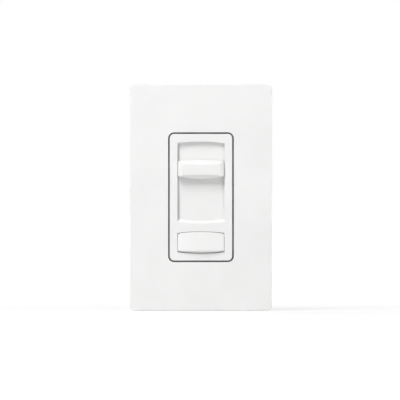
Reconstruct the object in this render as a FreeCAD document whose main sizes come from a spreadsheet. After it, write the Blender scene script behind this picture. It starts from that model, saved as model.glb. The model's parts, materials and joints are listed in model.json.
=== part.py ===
"""Slide control for the speed of a ceiling fan, for a single-gang wall box.

A vertical slider sets the speed, and a hinged paddle below it switches the fan on and off. Both sit in
a rectangular insert, framed by a screwless cover plate that snaps on an adapter. Behind the wall plane
a black housing, screwed to a metal yoke, holds the slide potentiometer, the triac with its filter, and
an alternate-action switch.

The frame: X to the right as seen from the room, Y into the wall, Z up, in millimetres. The origin is on
the wall plane, in the middle of the cover plate. A height is a distance from the wall plane towards the
room, so it is minus Y, and what lies in the wall has a negative height.
"""

import FreeCAD, Part

import math
import operator
import os
import types

import Sketcher

VEC = FreeCAD.Vector

# Driving sizes, in millimetres and degrees
SIZES = {
    # cover plate
    "plate_w": 74.7,
    "plate_tall": 119.1,
    "plate_front": 7.6,
    "plate_face": 1.8,
    "plate_wall": 1.8,
    "plate_corner": 2.5,
    "plate_edge": 0.5,
    "opening_w": 34.2,
    "opening_tall": 67.9,
    "opening_corner": 3.0,
    "opening_edge": 0.25,
    "collar_wall": 1.2,
    "collar_deep": 2.6,
    "pry_w": 8.0,
    "pry_deep": 1.2,
    # snap hooks of the cover plate
    "clip_in": 2.85,
    "clip_z": 34.0,
    "clip_w": 9.0,
    "clip_wall": 1.3,
    "barb": 0.75,
    "barb_deep": 1.5,
    # adapter plate
    "snap_gap": 0.3,
    "adapter_web": 1.5,
    "adapter_skirt": 1.4,
    "adapter_edge": 0.6,
    "boss_r": 3.0,
    "cover_pitch": 96.84,
    "screw_r": 1.75,
    "screw_gap": 0.05,
    "flat_head_r": 2.8,
    "adapter_screw_end": 4.5,
    # insert
    "reveal": 0.65,
    "bezel_front": 7.9,
    "bezel_face": 1.0,
    "bezel_wall": 1.5,
    "bezel_edge": 0.3,
    "window_w": 24.7,
    "window_arch": 0.95,
    "window_top": 29.35,
    "window_low": -12.4,
    "window_slope": 1.5,
    "recess": 2.4,
    "bar_wall": 1.5,
    "hook_x": 9.0,
    "hook_w": 5.0,
    "hook_wall": 1.3,
    "hook_barb": 0.5,
    # recess floor
    "track_wall": 1.0,
    "track_lap": 0.55,
    # slider
    "knob_z": 14.6,
    "knob_gap": 0.3,
    "knob_tall": 10.0,
    "knob_top_arch": 0.5,
    "knob_low_arch": 1.5,
    "knob_rise": 3.8,
    "knob_bevel": 2.3,
    "knob_top_slope": 2.6,
    "knob_low_slope": 2.3,
    "knob_side_slope": 2.2,
    "knob_crown": 0.45,
    "knob_wall": 1.4,
    "knob_edge": 0.3,
    "wing_wall": 0.8,
    "wing_tall": 6.8,
    "leg_wall": 1.2,
    "leg_w": 5.2,
    "leg_hook": 0.85,
    "leg_hook_wall": 0.6,
    "carriage_wall": 1.1,
    "slide_gap": 0.15,
    "fork_w": 3.2,
    "fork_wall": 1.3,
    "fork_end": 2.6,
    # paddle
    "paddle_top": -18.0,
    "paddle_tall": 11.6,
    "paddle_gap": 0.2,
    "paddle_side_gap": 0.15,
    "paddle_arch": 0.8,
    "paddle_proud": 2.5,
    "paddle_flush": 0.3,
    "paddle_crown": 1.1,
    "paddle_wall": 1.4,
    "paddle_edge": 0.5,
    "paddle_stop": 10.0,
    "hinge_drop": 1.4,
    "hinge_height": 5.3,
    "pin_r": 0.8,
    "pin_l": 2.2,
    "pin_gap": 0.05,
    "bearing_w": 3.4,
    "pusher_z": -27.4,
    "pusher_r": 1.0,
    "pusher_w": 4.0,
    "pusher_end": 0.8,
    "pusher_swing": 1.4,
    # yoke
    "yoke_wall": 1.5,
    "yoke_lip": 0.4,
    "yoke_mid": 71.0,
    "yoke_tall": 105.0,
    "ear_w": 36.0,
    "yoke_corner": 2.5,
    "score_w": 7.0,
    "score_z": 48.0,
    "score_tall": 0.9,
    "box_pitch": 83.34,
    "slot_tall": 4.6,
    "slot_w": 7.4,
    "slot_end_r": 2.2,
    "box_screw_end": 24.0,
    "neck_r": 1.4,
    "round_head_r": 3.4,
    "round_head_tall": 2.0,
    "tab_w": 10.0,
    "tab_x": -11.0,
    "tab_z": -36.5,
    "tab_deep": 8.0,
    "ground_screw_l": 2.9,
    # housing
    "case_w": 43.6,
    "case_tall": 68.6,
    "case_deep": 31.0,
    "case_wall": 1.6,
    "case_corner": 2.5,
    "case_edge": 2.0,
    "case_draft": 0.8,
    "gauge_z": -24.0,
    "gauge_l": 12.7,
    "gauge_w": 2.4,
    "gauge_deep": 0.6,
    "post_in": 2.5,
    "post_z": 30.7,
    "post_r": 2.4,
    "case_screw_r": 1.3,
    "case_screw_end": 11.0,
    "case_head_r": 2.1,
    "case_head_tall": 1.2,
    "case_head_room": 1.2,
    "insulator_wall": 0.4,
    # board and potentiometer
    "board_front": 9.6,
    "board_wall": 1.6,
    "board_gap": 1.8,
    "board_low": -16.6,
    "board_top": 31.8,
    "board_notch": 4.4,
    "board_post_r": 1.8,
    "low_post_x": 13.0,
    "low_post_z": -11.4,
    "top_post_x": 7.0,
    "top_post_z": 29.6,
    "pot_w": 9.6,
    "pot_front": 3.4,
    "pot_sheet": 0.8,
    "pot_end": 5.0,
    "pot_gap": 0.3,
    "element_wall": 1.0,
    "lever_w": 1.8,
    "lever_tall": 3.0,
    "lever_end": 1.0,
    "lever_gap": 0.1,
    # triac
    "triac_x": -10.6,
    "triac_z": 4.0,
    "triac_w": 9.8,
    "triac_tall": 9.0,
    "triac_deep": 4.4,
    "triac_skin": 0.3,
    "heat_tab": 1.3,
    "heat_tab_tall": 15.4,
    "rivet_up": 12.4,
    "rivet_r": 1.7,
    "rivet_head_r": 2.6,
    "rivet_head": 0.3,
    "lead": 0.7,
    "lead_pitch": 2.54,
    "lead_drop": 2.2,
    # filter and timing pieces behind the board
    "choke_x": 5.0,
    "choke_z": 3.0,
    "choke_r": 6.8,
    "choke_core_r": 3.0,
    "choke_flange": 1.6,
    "choke_tall": 11.0,
    "winding_r": 6.1,
    "film_w": 18.0,
    "film_wall": 8.0,
    "film_tall": 10.5,
    "film_z": 20.0,
    "film_edge": 0.8,
    "timing_in": 8.9,
    "timing_z": 8.0,
    "timing_w": 7.0,
    "timing_wall": 3.2,
    "timing_tall": 6.2,
    "axial_z": -2.0,
    "axial_span": 10.0,
    "resistor_in": 5.4,
    "resistor_pitch": 3.3,
    "resistor_r": 1.15,
    "resistor_l": 6.3,
    "diac_r": 0.9,
    "diac_l": 3.8,
    "wire_r": 0.3,
    "leg_r": 0.25,
    # switch
    "switch_w": 19.0,
    "switch_top": -18.5,
    "switch_low": -32.3,
    "switch_front": 7.0,
    "switch_back": 24.0,
    "switch_wall": 1.3,
    "plunger_z": -26.8,
    "plunger_r": 1.7,
    "plunger_tip_r": 0.9,
    "plunger_head_r": 3.5,
    "plunger_head": 1.2,
    "plunger_play": 0.1,
    "plunger_end": 11.6,
    "spring_r": 2.3,
    "spring_wire_r": 0.25,
    "spring_turns": 3,
    "cam_y": 17.5,
    "cam_half": 4.4,
    "cam_ridge": 4.3,
    "cam_notch": 3.6,
    "cam_back": 1.3,
    "cam_shoulder": 3.4,
    "cam_dip": 1.8,
    "cam_w": 5.2,
    "cam_pin_r": 0.8,
    "cam_tilt": 8.0,
    "arm_half": 7.6,
    "arm_w": 3.2,
    "blade": 0.6,
    "blade_w": 3.0,
    "contact_x": 6.0,
    "contact_r": 1.2,
    "contact_face_r": 0.8,
    "contact_tall": 0.9,
    "fixed_contact_tall": 0.6,
    # terminals
    "pocket_deep": 5.0,
    "pocket_tall": 10.6,
    "pocket_front": 13.4,
    "pocket_back": 24.2,
    "pocket_wall": 1.4,
    "wire_groove_w": 3.4,
    "wire_groove_deep": 3.0,
    "upper_terminal": 20.0,
    "lower_terminal": 2.0,
    "strap_wall": 1.0,
    "strap_tab": 2.0,
    "wire_head_r": 3.9,
    "wire_head_tall": 1.9,
}

doc = FreeCAD.newDocument("fan_speed_control")
sheet = doc.addObject("Spreadsheet::Sheet", "Sizes")
for row, (alias, number) in enumerate(SIZES.items(), start=1):
    sheet.set(f"A{row}", alias)
    sheet.set(f"B{row}", str(number))
    sheet.setAlias(f"B{row}", alias)
doc.recompute()


class Size:
    """A number together with the formula, in cells of the sheet, that gives it."""

    def __init__(self, number, text=None):
        self.number = float(number)
        self.text = str(number) if text is None else text

    def __add__(self, other):
        return joined(self, "+", other)

    def __radd__(self, other):
        return joined(other, "+", self)

    def __sub__(self, other):
        return joined(self, "-", other)

    def __rsub__(self, other):
        return joined(other, "-", self)

    def __mul__(self, other):
        return joined(self, "*", other)

    def __rmul__(self, other):
        return joined(other, "*", self)

    def __truediv__(self, other):
        return joined(self, "/", other)

    def __neg__(self):
        return Size(-self.number, f"(0 - {self.text})")


OPERATIONS = {"+": operator.add, "-": operator.sub, "*": operator.mul, "/": operator.truediv}
ZERO = Size(0)


def as_size(amount):
    return amount if isinstance(amount, Size) else Size(amount)


def joined(first, sign, second):
    first = as_size(first)
    second = as_size(second)
    result = OPERATIONS[sign](first.number, second.number)
    return Size(result, f"({first.text} {sign} {second.text})")


def root(amount):
    return Size(math.sqrt(amount.number), f"sqrt({amount.text})")


def arc_radius(half_chord, sag):
    """Radius of an arc that rises by the sag over the half chord."""
    return (half_chord * half_chord + sag * sag) / (2 * sag)


def in_order(first, second):
    return (first, second) if first.number < second.number else (second, first)


def bind(thing, prop, amount):
    """Binds a property to a formula of the sheet's cells."""
    thing.setExpression(prop, as_size(amount).text)


S = types.SimpleNamespace(
    **{alias: Size(sheet.get(alias), "Sizes." + alias) for alias in SIZES}
)

# Sizes that follow from the driving ones
PLATE_INNER = S.plate_front - S.plate_face
ADAPTER_FRONT = PLATE_INNER - S.snap_gap
ADAPTER_BACK = ADAPTER_FRONT - S.adapter_web
ADAPTER_W = S.plate_w - 2 * S.plate_wall - 2 * S.snap_gap
ADAPTER_TALL = S.plate_tall - 2 * S.plate_wall - 2 * S.snap_gap
CLIP_X = ADAPTER_W / 2 - S.adapter_skirt - S.clip_in
COLLAR_W = S.opening_w + 2 * S.collar_wall
COLLAR_TALL = S.opening_tall + 2 * S.collar_wall
COVER_SCREW_Z = S.cover_pitch / 2
BOX_SCREW_Z = S.box_pitch / 2

BEZEL_W = S.opening_w - 2 * S.reveal
BEZEL_TALL = S.opening_tall - 2 * S.reveal
BEZEL_INNER = S.bezel_front - S.bezel_face
CAVITY_X = BEZEL_W / 2 - S.bezel_wall
CAVITY_Z = BEZEL_TALL / 2 - S.bezel_wall
FLOOR = S.bezel_front - S.recess
WINDOW_X = S.window_w / 2
BAR_LOW = S.window_low - S.window_slope - S.bar_wall
HOOK_IN = CAVITY_Z - S.hook_wall
HOOK_MID = (HOOK_IN + CAVITY_Z + S.hook_barb) / 2
PADDLE_LOW = S.paddle_top - S.paddle_tall

TRACK_X = WINDOW_X + S.track_lap
TRACK_BACK = FLOOR - S.track_wall
TRACK_TOP = HOOK_IN - S.knob_gap

KNOB_X = WINDOW_X - S.knob_gap
KNOB_BACK = FLOOR + S.knob_gap
KNOB_FRONT = S.bezel_front + S.knob_rise
KNOB_UP = S.window_top - S.window_arch - S.knob_gap - S.knob_tall / 2 + S.knob_top_arch - S.knob_z
KNOB_DOWN = S.knob_z - S.knob_tall / 2 - S.knob_gap - S.window_low
LEG_IN = (TRACK_X + CAVITY_X - S.leg_wall) / 2
LEG_OUT = LEG_IN + S.leg_wall
CARRIAGE_FRONT = TRACK_BACK - S.slide_gap
CARRIAGE_BACK = CARRIAGE_FRONT - S.carriage_wall
CARRIAGE_X = LEG_IN - S.slide_gap / 3
FORK_IN = S.lever_tall / 2 + S.lever_gap
FORK_OUT = FORK_IN + S.fork_wall

HINGE_Z = S.paddle_top - S.hinge_drop
PADDLE_X = WINDOW_X - S.paddle_side_gap
PADDLE_FRONT = S.bezel_front + S.paddle_flush
SWING_LOW = HINGE_Z - PADDLE_LOW
SWING_DEEP = BEZEL_INNER - S.hinge_height
SWING_R = root(SWING_LOW * SWING_LOW + SWING_DEEP * SWING_DEEP) - S.paddle_gap

CASE_X = S.case_w / 2
YOKE_W = S.case_w + 2 * S.yoke_lip
POST_X = CASE_X - S.post_in
CASE_INNER_BACK = S.case_deep - S.case_wall
BOARD_BACK = S.board_front + S.board_wall
BOARD_X = CASE_X - S.case_wall - S.board_gap
RESISTOR_X = S.resistor_in - BOARD_X
TIMING_X = S.timing_in - BOARD_X
POT_LOW = S.knob_z - KNOB_DOWN - S.lever_tall / 2 - S.pot_end
POT_TOP = S.knob_z + KNOB_UP + S.lever_tall / 2 + S.pot_end
ELEMENT_FRONT = S.board_front - S.element_wall
RIVET_Z = S.triac_z + S.rivet_up
POCKET_X = CASE_X - S.pocket_deep
POCKET_MID = (S.pocket_front + S.pocket_back) / 2
STRAP_X = POCKET_X + S.strap_wall
STRAP_TAB_Y = S.pocket_front + S.strap_tab / 2 + S.snap_gap
STRAP_INNER = POCKET_X - S.pocket_wall - S.snap_gap
COVER_BACK = S.switch_front + S.switch_wall
SWITCH_FLOOR = S.switch_back - S.switch_wall
STEM_R = S.plunger_r + S.plunger_play

# Each terminal: its name, the side of the housing that it is on, and its height there
TERMINALS = (
    ("line", 1, S.upper_terminal),
    ("load", 1, S.lower_terminal),
    ("traveller", -1, S.upper_terminal),
)

subparts = []


def subpart(thing, label):
    """Marks a finished object as one sub-part, which is written to a file of its own."""
    thing.Label = label
    subparts.append(thing)
    return thing


# Sketches. On XZ a sketch has u along X and v along Z, and its lift is a height towards the room. On
# YZ, u is Y and v is Z, and on XY, u is X and v is Y.


def new_body(name):
    return doc.addObject("PartDesign::Body", name + "_body")


def new_sketch(body, plane, lift=0):
    """A sketch on one of the body's own planes, lifted off it along its normal."""
    support = next(f for f in body.Origin.OriginFeatures if f.Role == plane + "_Plane")
    sketch = body.newObject("Sketcher::SketchObject", body.Name + "_sketch")
    sketch.AttachmentSupport = (support, [""])
    sketch.MapMode = "FlatFace"
    bind(sketch, "AttachmentOffset.Base.z", lift)
    return sketch


PLANES = {
    "XZ": FreeCAD.Rotation(VEC(1, 0, 0), 90),
    "YZ": FreeCAD.Rotation(VEC(1, 1, 1), 120),
    "XY": FreeCAD.Rotation(),
}


def free_sketch(name, plane, place=(0, 0, 0)):
    """A sketch that stands by itself, for an extrusion that other shapes then trim."""
    sketch = doc.addObject("Sketcher::SketchObject", name + "_sketch")
    sketch.Placement = FreeCAD.Placement(VEC(), PLANES[plane])
    for axis, amount in zip("xyz", place):
        bind(sketch, "Placement.Base." + axis, amount)
    return sketch


def dimension(sketch, constraint, amount):
    index = sketch.addConstraint(constraint)
    sketch.renameConstraint(index, f"size_{index}")
    bind(sketch, f"Constraints.size_{index}", amount)


def hold_point(sketch, geometry, end, u, v):
    """Holds one point of a line, arc or circle at the place that two formulas give."""
    across = Sketcher.Constraint("DistanceX", -1, 1, geometry, end, as_size(u).number)
    dimension(sketch, across, u)
    along = Sketcher.Constraint("DistanceY", -1, 1, geometry, end, as_size(v).number)
    dimension(sketch, along, v)


def outline(sketch, corners, arcs=None):
    """A closed loop through the corners, anticlockwise where it has arcs.

    arcs gives the radius of each side that bends outwards, by the number of its first corner.
    """
    arcs = arcs or {}
    points = [VEC(as_size(u).number, as_size(v).number, 0) for u, v in corners]
    sides = []
    for i, start in enumerate(points):
        stop = points[(i + 1) % len(points)]
        if i in arcs:
            radius = as_size(arcs[i]).number
            half = (stop - start).Length / 2
            outwards = VEC(stop.y - start.y, start.x - stop.x, 0).normalize()
            bulge = radius - math.sqrt(max(radius**2 - half**2, 0))
            middle = (start + stop) / 2 + outwards * bulge
            sides.append(sketch.addGeometry(Part.Arc(start, middle, stop), False))
        else:
            sides.append(sketch.addGeometry(Part.LineSegment(start, stop), False))
    for i, side in enumerate(sides):
        following = sides[(i + 1) % len(sides)]
        sketch.addConstraint(Sketcher.Constraint("Coincident", side, 2, following, 1))
        hold_point(sketch, side, 1, *corners[i])
    for i, radius in arcs.items():
        bend = Sketcher.Constraint("Radius", sides[i], as_size(radius).number)
        dimension(sketch, bend, radius)


def span(sketch, low_u, high_u, low_v, high_v):
    """A rectangle between two corners."""
    outline(sketch, [(low_u, low_v), (high_u, low_v), (high_u, high_v), (low_u, high_v)])


def rectangle(sketch, wide, tall, at=(0, 0)):
    """A rectangle about a point."""
    u, v = at
    span(sketch, u - wide / 2, u + wide / 2, v - tall / 2, v + tall / 2)


def rounded(sketch, wide, tall, radius, at=(0, 0)):
    """A rectangle about a point, with rounded corners."""
    u, v = at
    out_u = wide / 2
    in_u = wide / 2 - radius
    out_v = tall / 2
    in_v = tall / 2 - radius
    around = [
        (-in_u, -out_v),
        (in_u, -out_v),
        (out_u, -in_v),
        (out_u, in_v),
        (in_u, out_v),
        (-in_u, out_v),
        (-out_u, in_v),
        (-out_u, -in_v),
    ]
    outline(sketch, [(u + a, v + b) for a, b in around], {i: radius for i in (1, 3, 5, 7)})


def circle(sketch, radius, at=(0, 0)):
    u, v = (as_size(amount) for amount in at)
    ring = sketch.addGeometry(
        Part.Circle(VEC(u.number, v.number, 0), VEC(0, 0, 1), as_size(radius).number), False
    )
    hold_point(sketch, ring, 3, u, v)
    dimension(sketch, Sketcher.Constraint("Radius", ring, as_size(radius).number), radius)


def barrel(sketch, half_wide, low, top, low_arch, top_arch):
    """Straight sides, and a low and a top edge that arch outwards. low and top are at the middle."""
    corners = [
        (-half_wide, low + low_arch),
        (half_wide, low + low_arch),
        (half_wide, top - top_arch),
        (-half_wide, top - top_arch),
    ]
    bends = {0: arc_radius(half_wide, low_arch), 2: arc_radius(half_wide, top_arch)}
    outline(sketch, corners, bends)


# Features of a body


def volume_of(body):
    doc.recompute()
    return 0.0 if body.Shape.isNull() else body.Shape.Volume


def checked(feature, before, smaller):
    """Stops if a feature failed or didn't change the body's volume the way it should."""
    doc.recompute()
    after = feature.Shape.Volume
    moved = after < before - 1e-6 if smaller else after > before + 1e-6
    if "Invalid" in feature.State or not moved:
        raise RuntimeError(f"{feature.Name} took the volume from {before:.2f} to {after:.2f}")
    return feature


def pad(body, sketch, length, backwards=False, both_sides=False):
    """Adds along the sketch's normal, or against it."""
    before = volume_of(body)
    feature = body.newObject("PartDesign::Pad", body.Name + "_pad")
    feature.Profile = sketch
    feature.Reversed = backwards
    feature.Midplane = both_sides
    bind(feature, "Length", length)
    return checked(feature, before, smaller=False)


def pocket(body, sketch, length, forwards=False, both_sides=False):
    """Cuts against the sketch's normal, or along it."""
    before = volume_of(body)
    feature = body.newObject("PartDesign::Pocket", body.Name + "_pocket")
    feature.Profile = sketch
    feature.Reversed = forwards
    feature.Midplane = both_sides
    bind(feature, "Length", length)
    return checked(feature, before, smaller=True)


def lofted_cut(body, first, last):
    """Cuts the straight loft from one sketch to another."""
    before = volume_of(body)
    feature = body.newObject("PartDesign::SubtractiveLoft", body.Name + "_loft")
    feature.Profile = first
    feature.Sections = [last]
    feature.Ruled = True
    return checked(feature, before, smaller=True)


def turned(body, sketch):
    """A full turn of the sketch about its own vertical axis."""
    before = volume_of(body)
    feature = body.newObject("PartDesign::Revolution", body.Name + "_turned")
    feature.Profile = sketch
    feature.ReferenceAxis = (sketch, ["V_Axis"])
    feature.Angle = 360
    return checked(feature, before, smaller=False)


def edges_where(shape, test):
    """Numbers of the edges whose ends and middle all pass a test."""
    numbers = []
    for number, edge in enumerate(shape.Edges, start=1):
        middle = edge.valueAt((edge.FirstParameter + edge.LastParameter) / 2)
        if all(test(point) for point in [v.Point for v in edge.Vertexes] + [middle]):
            numbers.append(number)
    return numbers


def rim(shape, height, half_wide=0, half_tall=0, outside=True):
    """The edges at a height that lie outside, or inside, a rectangle about the origin."""
    plane = -as_size(height).number
    wide = as_size(half_wide).number
    tall = as_size(half_tall).number

    def test(point):
        within = abs(point.x) < wide and abs(point.z) < tall
        return abs(point.y - plane) < 1e-4 and within != outside

    return edges_where(shape, test)


def rounding(body, numbers, radius, kind="Fillet"):
    """A fillet or a chamfer on numbered edges of the body as it stands."""
    doc.recompute()
    base = body.Tip
    feature = body.newObject("PartDesign::" + kind, body.Name + "_" + kind.lower())
    feature.Base = (base, [f"Edge{number}" for number in numbers])
    bind(feature, "Radius" if kind == "Fillet" else "Size", radius)
    doc.recompute()
    if not numbers or "Invalid" in feature.State or not feature.Shape.isValid():
        raise RuntimeError(f"{feature.Name} has {len(numbers)} edges and failed")
    return feature


# Primitives and booleans


def heights(low, high):
    """The stretch of Y between two heights."""
    return (-as_size(high), -as_size(low))


def block(name, x, y, z):
    """A box between two ends along each axis."""
    made = doc.addObject("Part::Box", name)
    for axis, side, (low, high) in zip("xyz", ("Length", "Width", "Height"), (x, y, z)):
        bind(made, "Placement.Base." + axis, low)
        bind(made, side, high - low)
    return made


TURNS = {
    "X": FreeCAD.Rotation(VEC(0, 1, 0), 90),
    "Y": FreeCAD.Rotation(VEC(1, 0, 0), -90),
    "Z": FreeCAD.Rotation(),
}


def rod(name, axis, radius, start, length, end_radius=None):
    """A cylinder, or a cone where it has an end radius, from a start point along an axis."""
    kind = "Part::Cylinder" if end_radius is None else "Part::Cone"
    made = doc.addObject(kind, name)
    made.Placement = FreeCAD.Placement(VEC(), TURNS[axis])
    bind(made, "Height", length)
    if end_radius is None:
        bind(made, "Radius", radius)
    else:
        bind(made, "Radius1", radius)
        bind(made, "Radius2", end_radius)
    for letter, amount in zip("xyz", start):
        bind(made, "Placement.Base." + letter, amount)
    return made


def fuse(name, *shapes):
    made = doc.addObject("Part::MultiFuse", name)
    made.Shapes = list(shapes)
    made.Refine = True
    return made


def common(name, *shapes):
    made = doc.addObject("Part::MultiCommon", name)
    made.Shapes = list(shapes)
    made.Refine = True
    return made


def cut(name, base, *tools):
    made = doc.addObject("Part::Cut", name)
    made.Base = base
    made.Tool = tools[0] if len(tools) == 1 else fuse(name + "_tools", *tools)
    made.Refine = True
    return made


def gather(name, *shapes):
    """Separate solids in one sub-part, such as a set of like screws."""
    made = doc.addObject("Part::Compound", name)
    made.Links = list(shapes)
    return made


def extrude(name, sketch, direction, length, back=0):
    made = doc.addObject("Part::Extrusion", name)
    made.Base = sketch
    made.DirMode = "Custom"
    made.Dir = direction
    made.Solid = True
    bind(made, "LengthFwd", length)
    bind(made, "LengthRev", back)
    return made


def soften(name, base, test, radius):
    """Rounds the edges of a Part object that pass a test."""
    doc.recompute()
    made = doc.addObject("Part::Fillet", name)
    made.Base = base
    amount = as_size(radius).number
    made.Edges = [(number, amount, amount) for number in edges_where(base.Shape, test)]
    doc.recompute()
    if made.Shape.isNull() or not made.Shape.isValid():
        raise RuntimeError(f"{name} couldn't round its {len(made.Edges)} edges")
    return made


# Cover plate and adapter


def cover_plate():
    """Screwless plate: a rounded face with a skirt, a collar round the opening and four snap hooks."""
    body = new_body("cover_plate")
    sketch = new_sketch(body, "XZ")
    rounded(sketch, S.plate_w, S.plate_tall, S.plate_corner)
    pad(body, sketch, S.plate_front)
    rounding(body, rim(body.Shape, S.plate_front), S.plate_edge)

    inner_w = S.plate_w - 2 * S.plate_wall
    inner_tall = S.plate_tall - 2 * S.plate_wall
    inner_corner = S.plate_corner / 2
    collar_back = PLATE_INNER - S.collar_deep
    sketch = new_sketch(body, "XZ")
    rounded(sketch, inner_w, inner_tall, inner_corner)
    pocket(body, sketch, collar_back, forwards=True)
    sketch = new_sketch(body, "XZ", collar_back)
    rounded(sketch, inner_w, inner_tall, inner_corner)
    rounded(sketch, COLLAR_W, COLLAR_TALL, S.opening_corner + S.collar_wall)
    pocket(body, sketch, S.collar_deep, forwards=True)

    sketch = new_sketch(body, "XZ", S.plate_front)
    rounded(sketch, S.opening_w, S.opening_tall, S.opening_corner)
    pocket(body, sketch, S.plate_face + S.collar_deep)
    edge = rim(body.Shape, S.plate_front, COLLAR_W / 2, COLLAR_TALL / 2, outside=False)
    rounding(body, edge, S.opening_edge)

    sketch = new_sketch(body, "XZ")
    rectangle(sketch, S.pry_w, S.plate_wall, (0, -S.plate_tall / 2 + S.plate_wall / 2))
    pocket(body, sketch, S.pry_deep, forwards=True)

    base = PLATE_INNER + S.plate_face / 2
    catch = ADAPTER_BACK - S.snap_gap / 3
    tip = catch - S.barb_deep
    for side in (1, -1):
        arm = [
            (side * CLIP_X, -base),
            (side * (CLIP_X + S.clip_wall), -base),
            (side * (CLIP_X + S.clip_wall), -catch),
            (side * (CLIP_X + S.clip_wall + S.barb), -catch),
            (side * (CLIP_X + S.clip_wall), -tip),
            (side * CLIP_X, -tip),
        ]
        for end in (1, -1):
            sketch = new_sketch(body, "XY", end * S.clip_z)
            outline(sketch, arm)
            pad(body, sketch, S.clip_w, both_sides=True)
    return subpart(body, "cover_plate")


def adapter_plate():
    """Sub-plate that the cover snaps on: a web with a skirt, two screw bosses and four slots."""
    body = new_body("adapter_plate")
    sketch = new_sketch(body, "XZ", S.snap_gap)
    rounded(sketch, ADAPTER_W, ADAPTER_TALL, S.plate_corner / 2)
    pad(body, sketch, ADAPTER_FRONT - S.snap_gap)
    rounding(body, rim(body.Shape, ADAPTER_FRONT), S.adapter_edge)

    sketch = new_sketch(body, "XZ", S.snap_gap)
    rectangle(sketch, ADAPTER_W - 2 * S.adapter_skirt, ADAPTER_TALL - 2 * S.adapter_skirt)
    pocket(body, sketch, ADAPTER_BACK - S.snap_gap, forwards=True)
    sketch = new_sketch(body, "XZ", S.yoke_wall)
    for end in (1, -1):
        circle(sketch, S.boss_r, (0, end * COVER_SCREW_Z))
    pad(body, sketch, ADAPTER_BACK - S.yoke_wall)

    sketch = new_sketch(body, "XZ", ADAPTER_FRONT)
    around = S.opening_corner + S.collar_wall + S.snap_gap
    rounded(sketch, COLLAR_W + 2 * S.snap_gap, COLLAR_TALL + 2 * S.snap_gap, around)
    for end in (1, -1):
        circle(sketch, S.screw_r + S.screw_gap, (0, end * COVER_SCREW_Z))
        circle(sketch, S.round_head_r + S.snap_gap, (0, end * BOX_SCREW_Z))
        for side in (1, -1):
            middle = (side * (CLIP_X + S.clip_wall / 2), end * S.clip_z)
            rectangle(sketch, S.clip_wall + 2 * S.snap_gap, S.clip_w + 2 * S.snap_gap, middle)
    pocket(body, sketch, ADAPTER_FRONT)
    bore_r = (S.screw_r + S.screw_gap).number

    def bore(point):
        off = math.hypot(point.x, abs(point.z) - COVER_SCREW_Z.number)
        return abs(off - bore_r) < 1e-3 and abs(point.y + ADAPTER_FRONT.number) < 1e-4

    sink = S.flat_head_r - S.screw_r
    rounding(body, edges_where(body.Shape, bore), sink, kind="Chamfer")
    return subpart(body, "adapter_plate")


# The head of a turned screw points along +Z of its own body. These turn it to where it points.
HEAD_TO_ROOM = FreeCAD.Rotation(VEC(1, 0, 0), 90)
HEAD_TO_RIGHT = FreeCAD.Rotation(VEC(0, 1, 0), 90)
HEAD_TO_LEFT = FreeCAD.Rotation(VEC(0, 1, 0), -90)
HEAD_DOWN = FreeCAD.Rotation(VEC(1, 0, 0), 180)
# The straight part of a domed head, as a share of its height
SCREW_HEAD_SIDE = 0.4


def turned_screw(name, radius, head, length, turn, seat, countersunk=False, neck=None):
    """A screw whose head, a pair of radius and height, bears on a seat point.

    neck is the radius and length of a plain, thinner part under the head.
    """
    head_r, head_tall = head
    point = radius / 2
    profile = [(0, -length), (radius - point, -length), (radius, -length + point)]
    if neck is None:
        profile.append((radius, 0))
    else:
        neck_r, neck_long = neck
        profile += [(radius, -neck_long), (neck_r, -neck_long), (neck_r, 0)]
    if countersunk:
        profile += [(head_r, head_tall), (0, head_tall)]
        arcs = {}
    else:
        side = head_tall * SCREW_HEAD_SIDE
        arcs = {len(profile) + 1: arc_radius(head_r, head_tall - side)}
        profile += [(head_r, 0), (head_r, side), (0, head_tall)]
    body = new_body(name)
    sketch = new_sketch(body, "XZ")
    outline(sketch, profile, arcs)
    turned(body, sketch)
    body.Placement = FreeCAD.Placement(VEC(), turn)
    for letter, amount in zip("xyz", seat):
        bind(body, "Placement.Base." + letter, amount)
    return body


def adapter_screws():
    """Two flat-head screws that hold the adapter on the yoke's tapped ears."""
    head = (S.flat_head_r, S.flat_head_r - S.screw_r)
    seat = ADAPTER_FRONT - head[1] - S.screw_gap
    length = seat + S.adapter_screw_end
    pair = [
        turned_screw(
            f"adapter_screw_{place}",
            S.screw_r,
            head,
            length,
            HEAD_TO_ROOM,
            (0, -seat, end * COVER_SCREW_Z),
            countersunk=True,
        )
        for place, end in (("upper", 1), ("lower", -1))
    ]
    return subpart(gather("adapter_screws", *pair), "adapter_screws")


# Insert, with its recess and what moves in it


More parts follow.
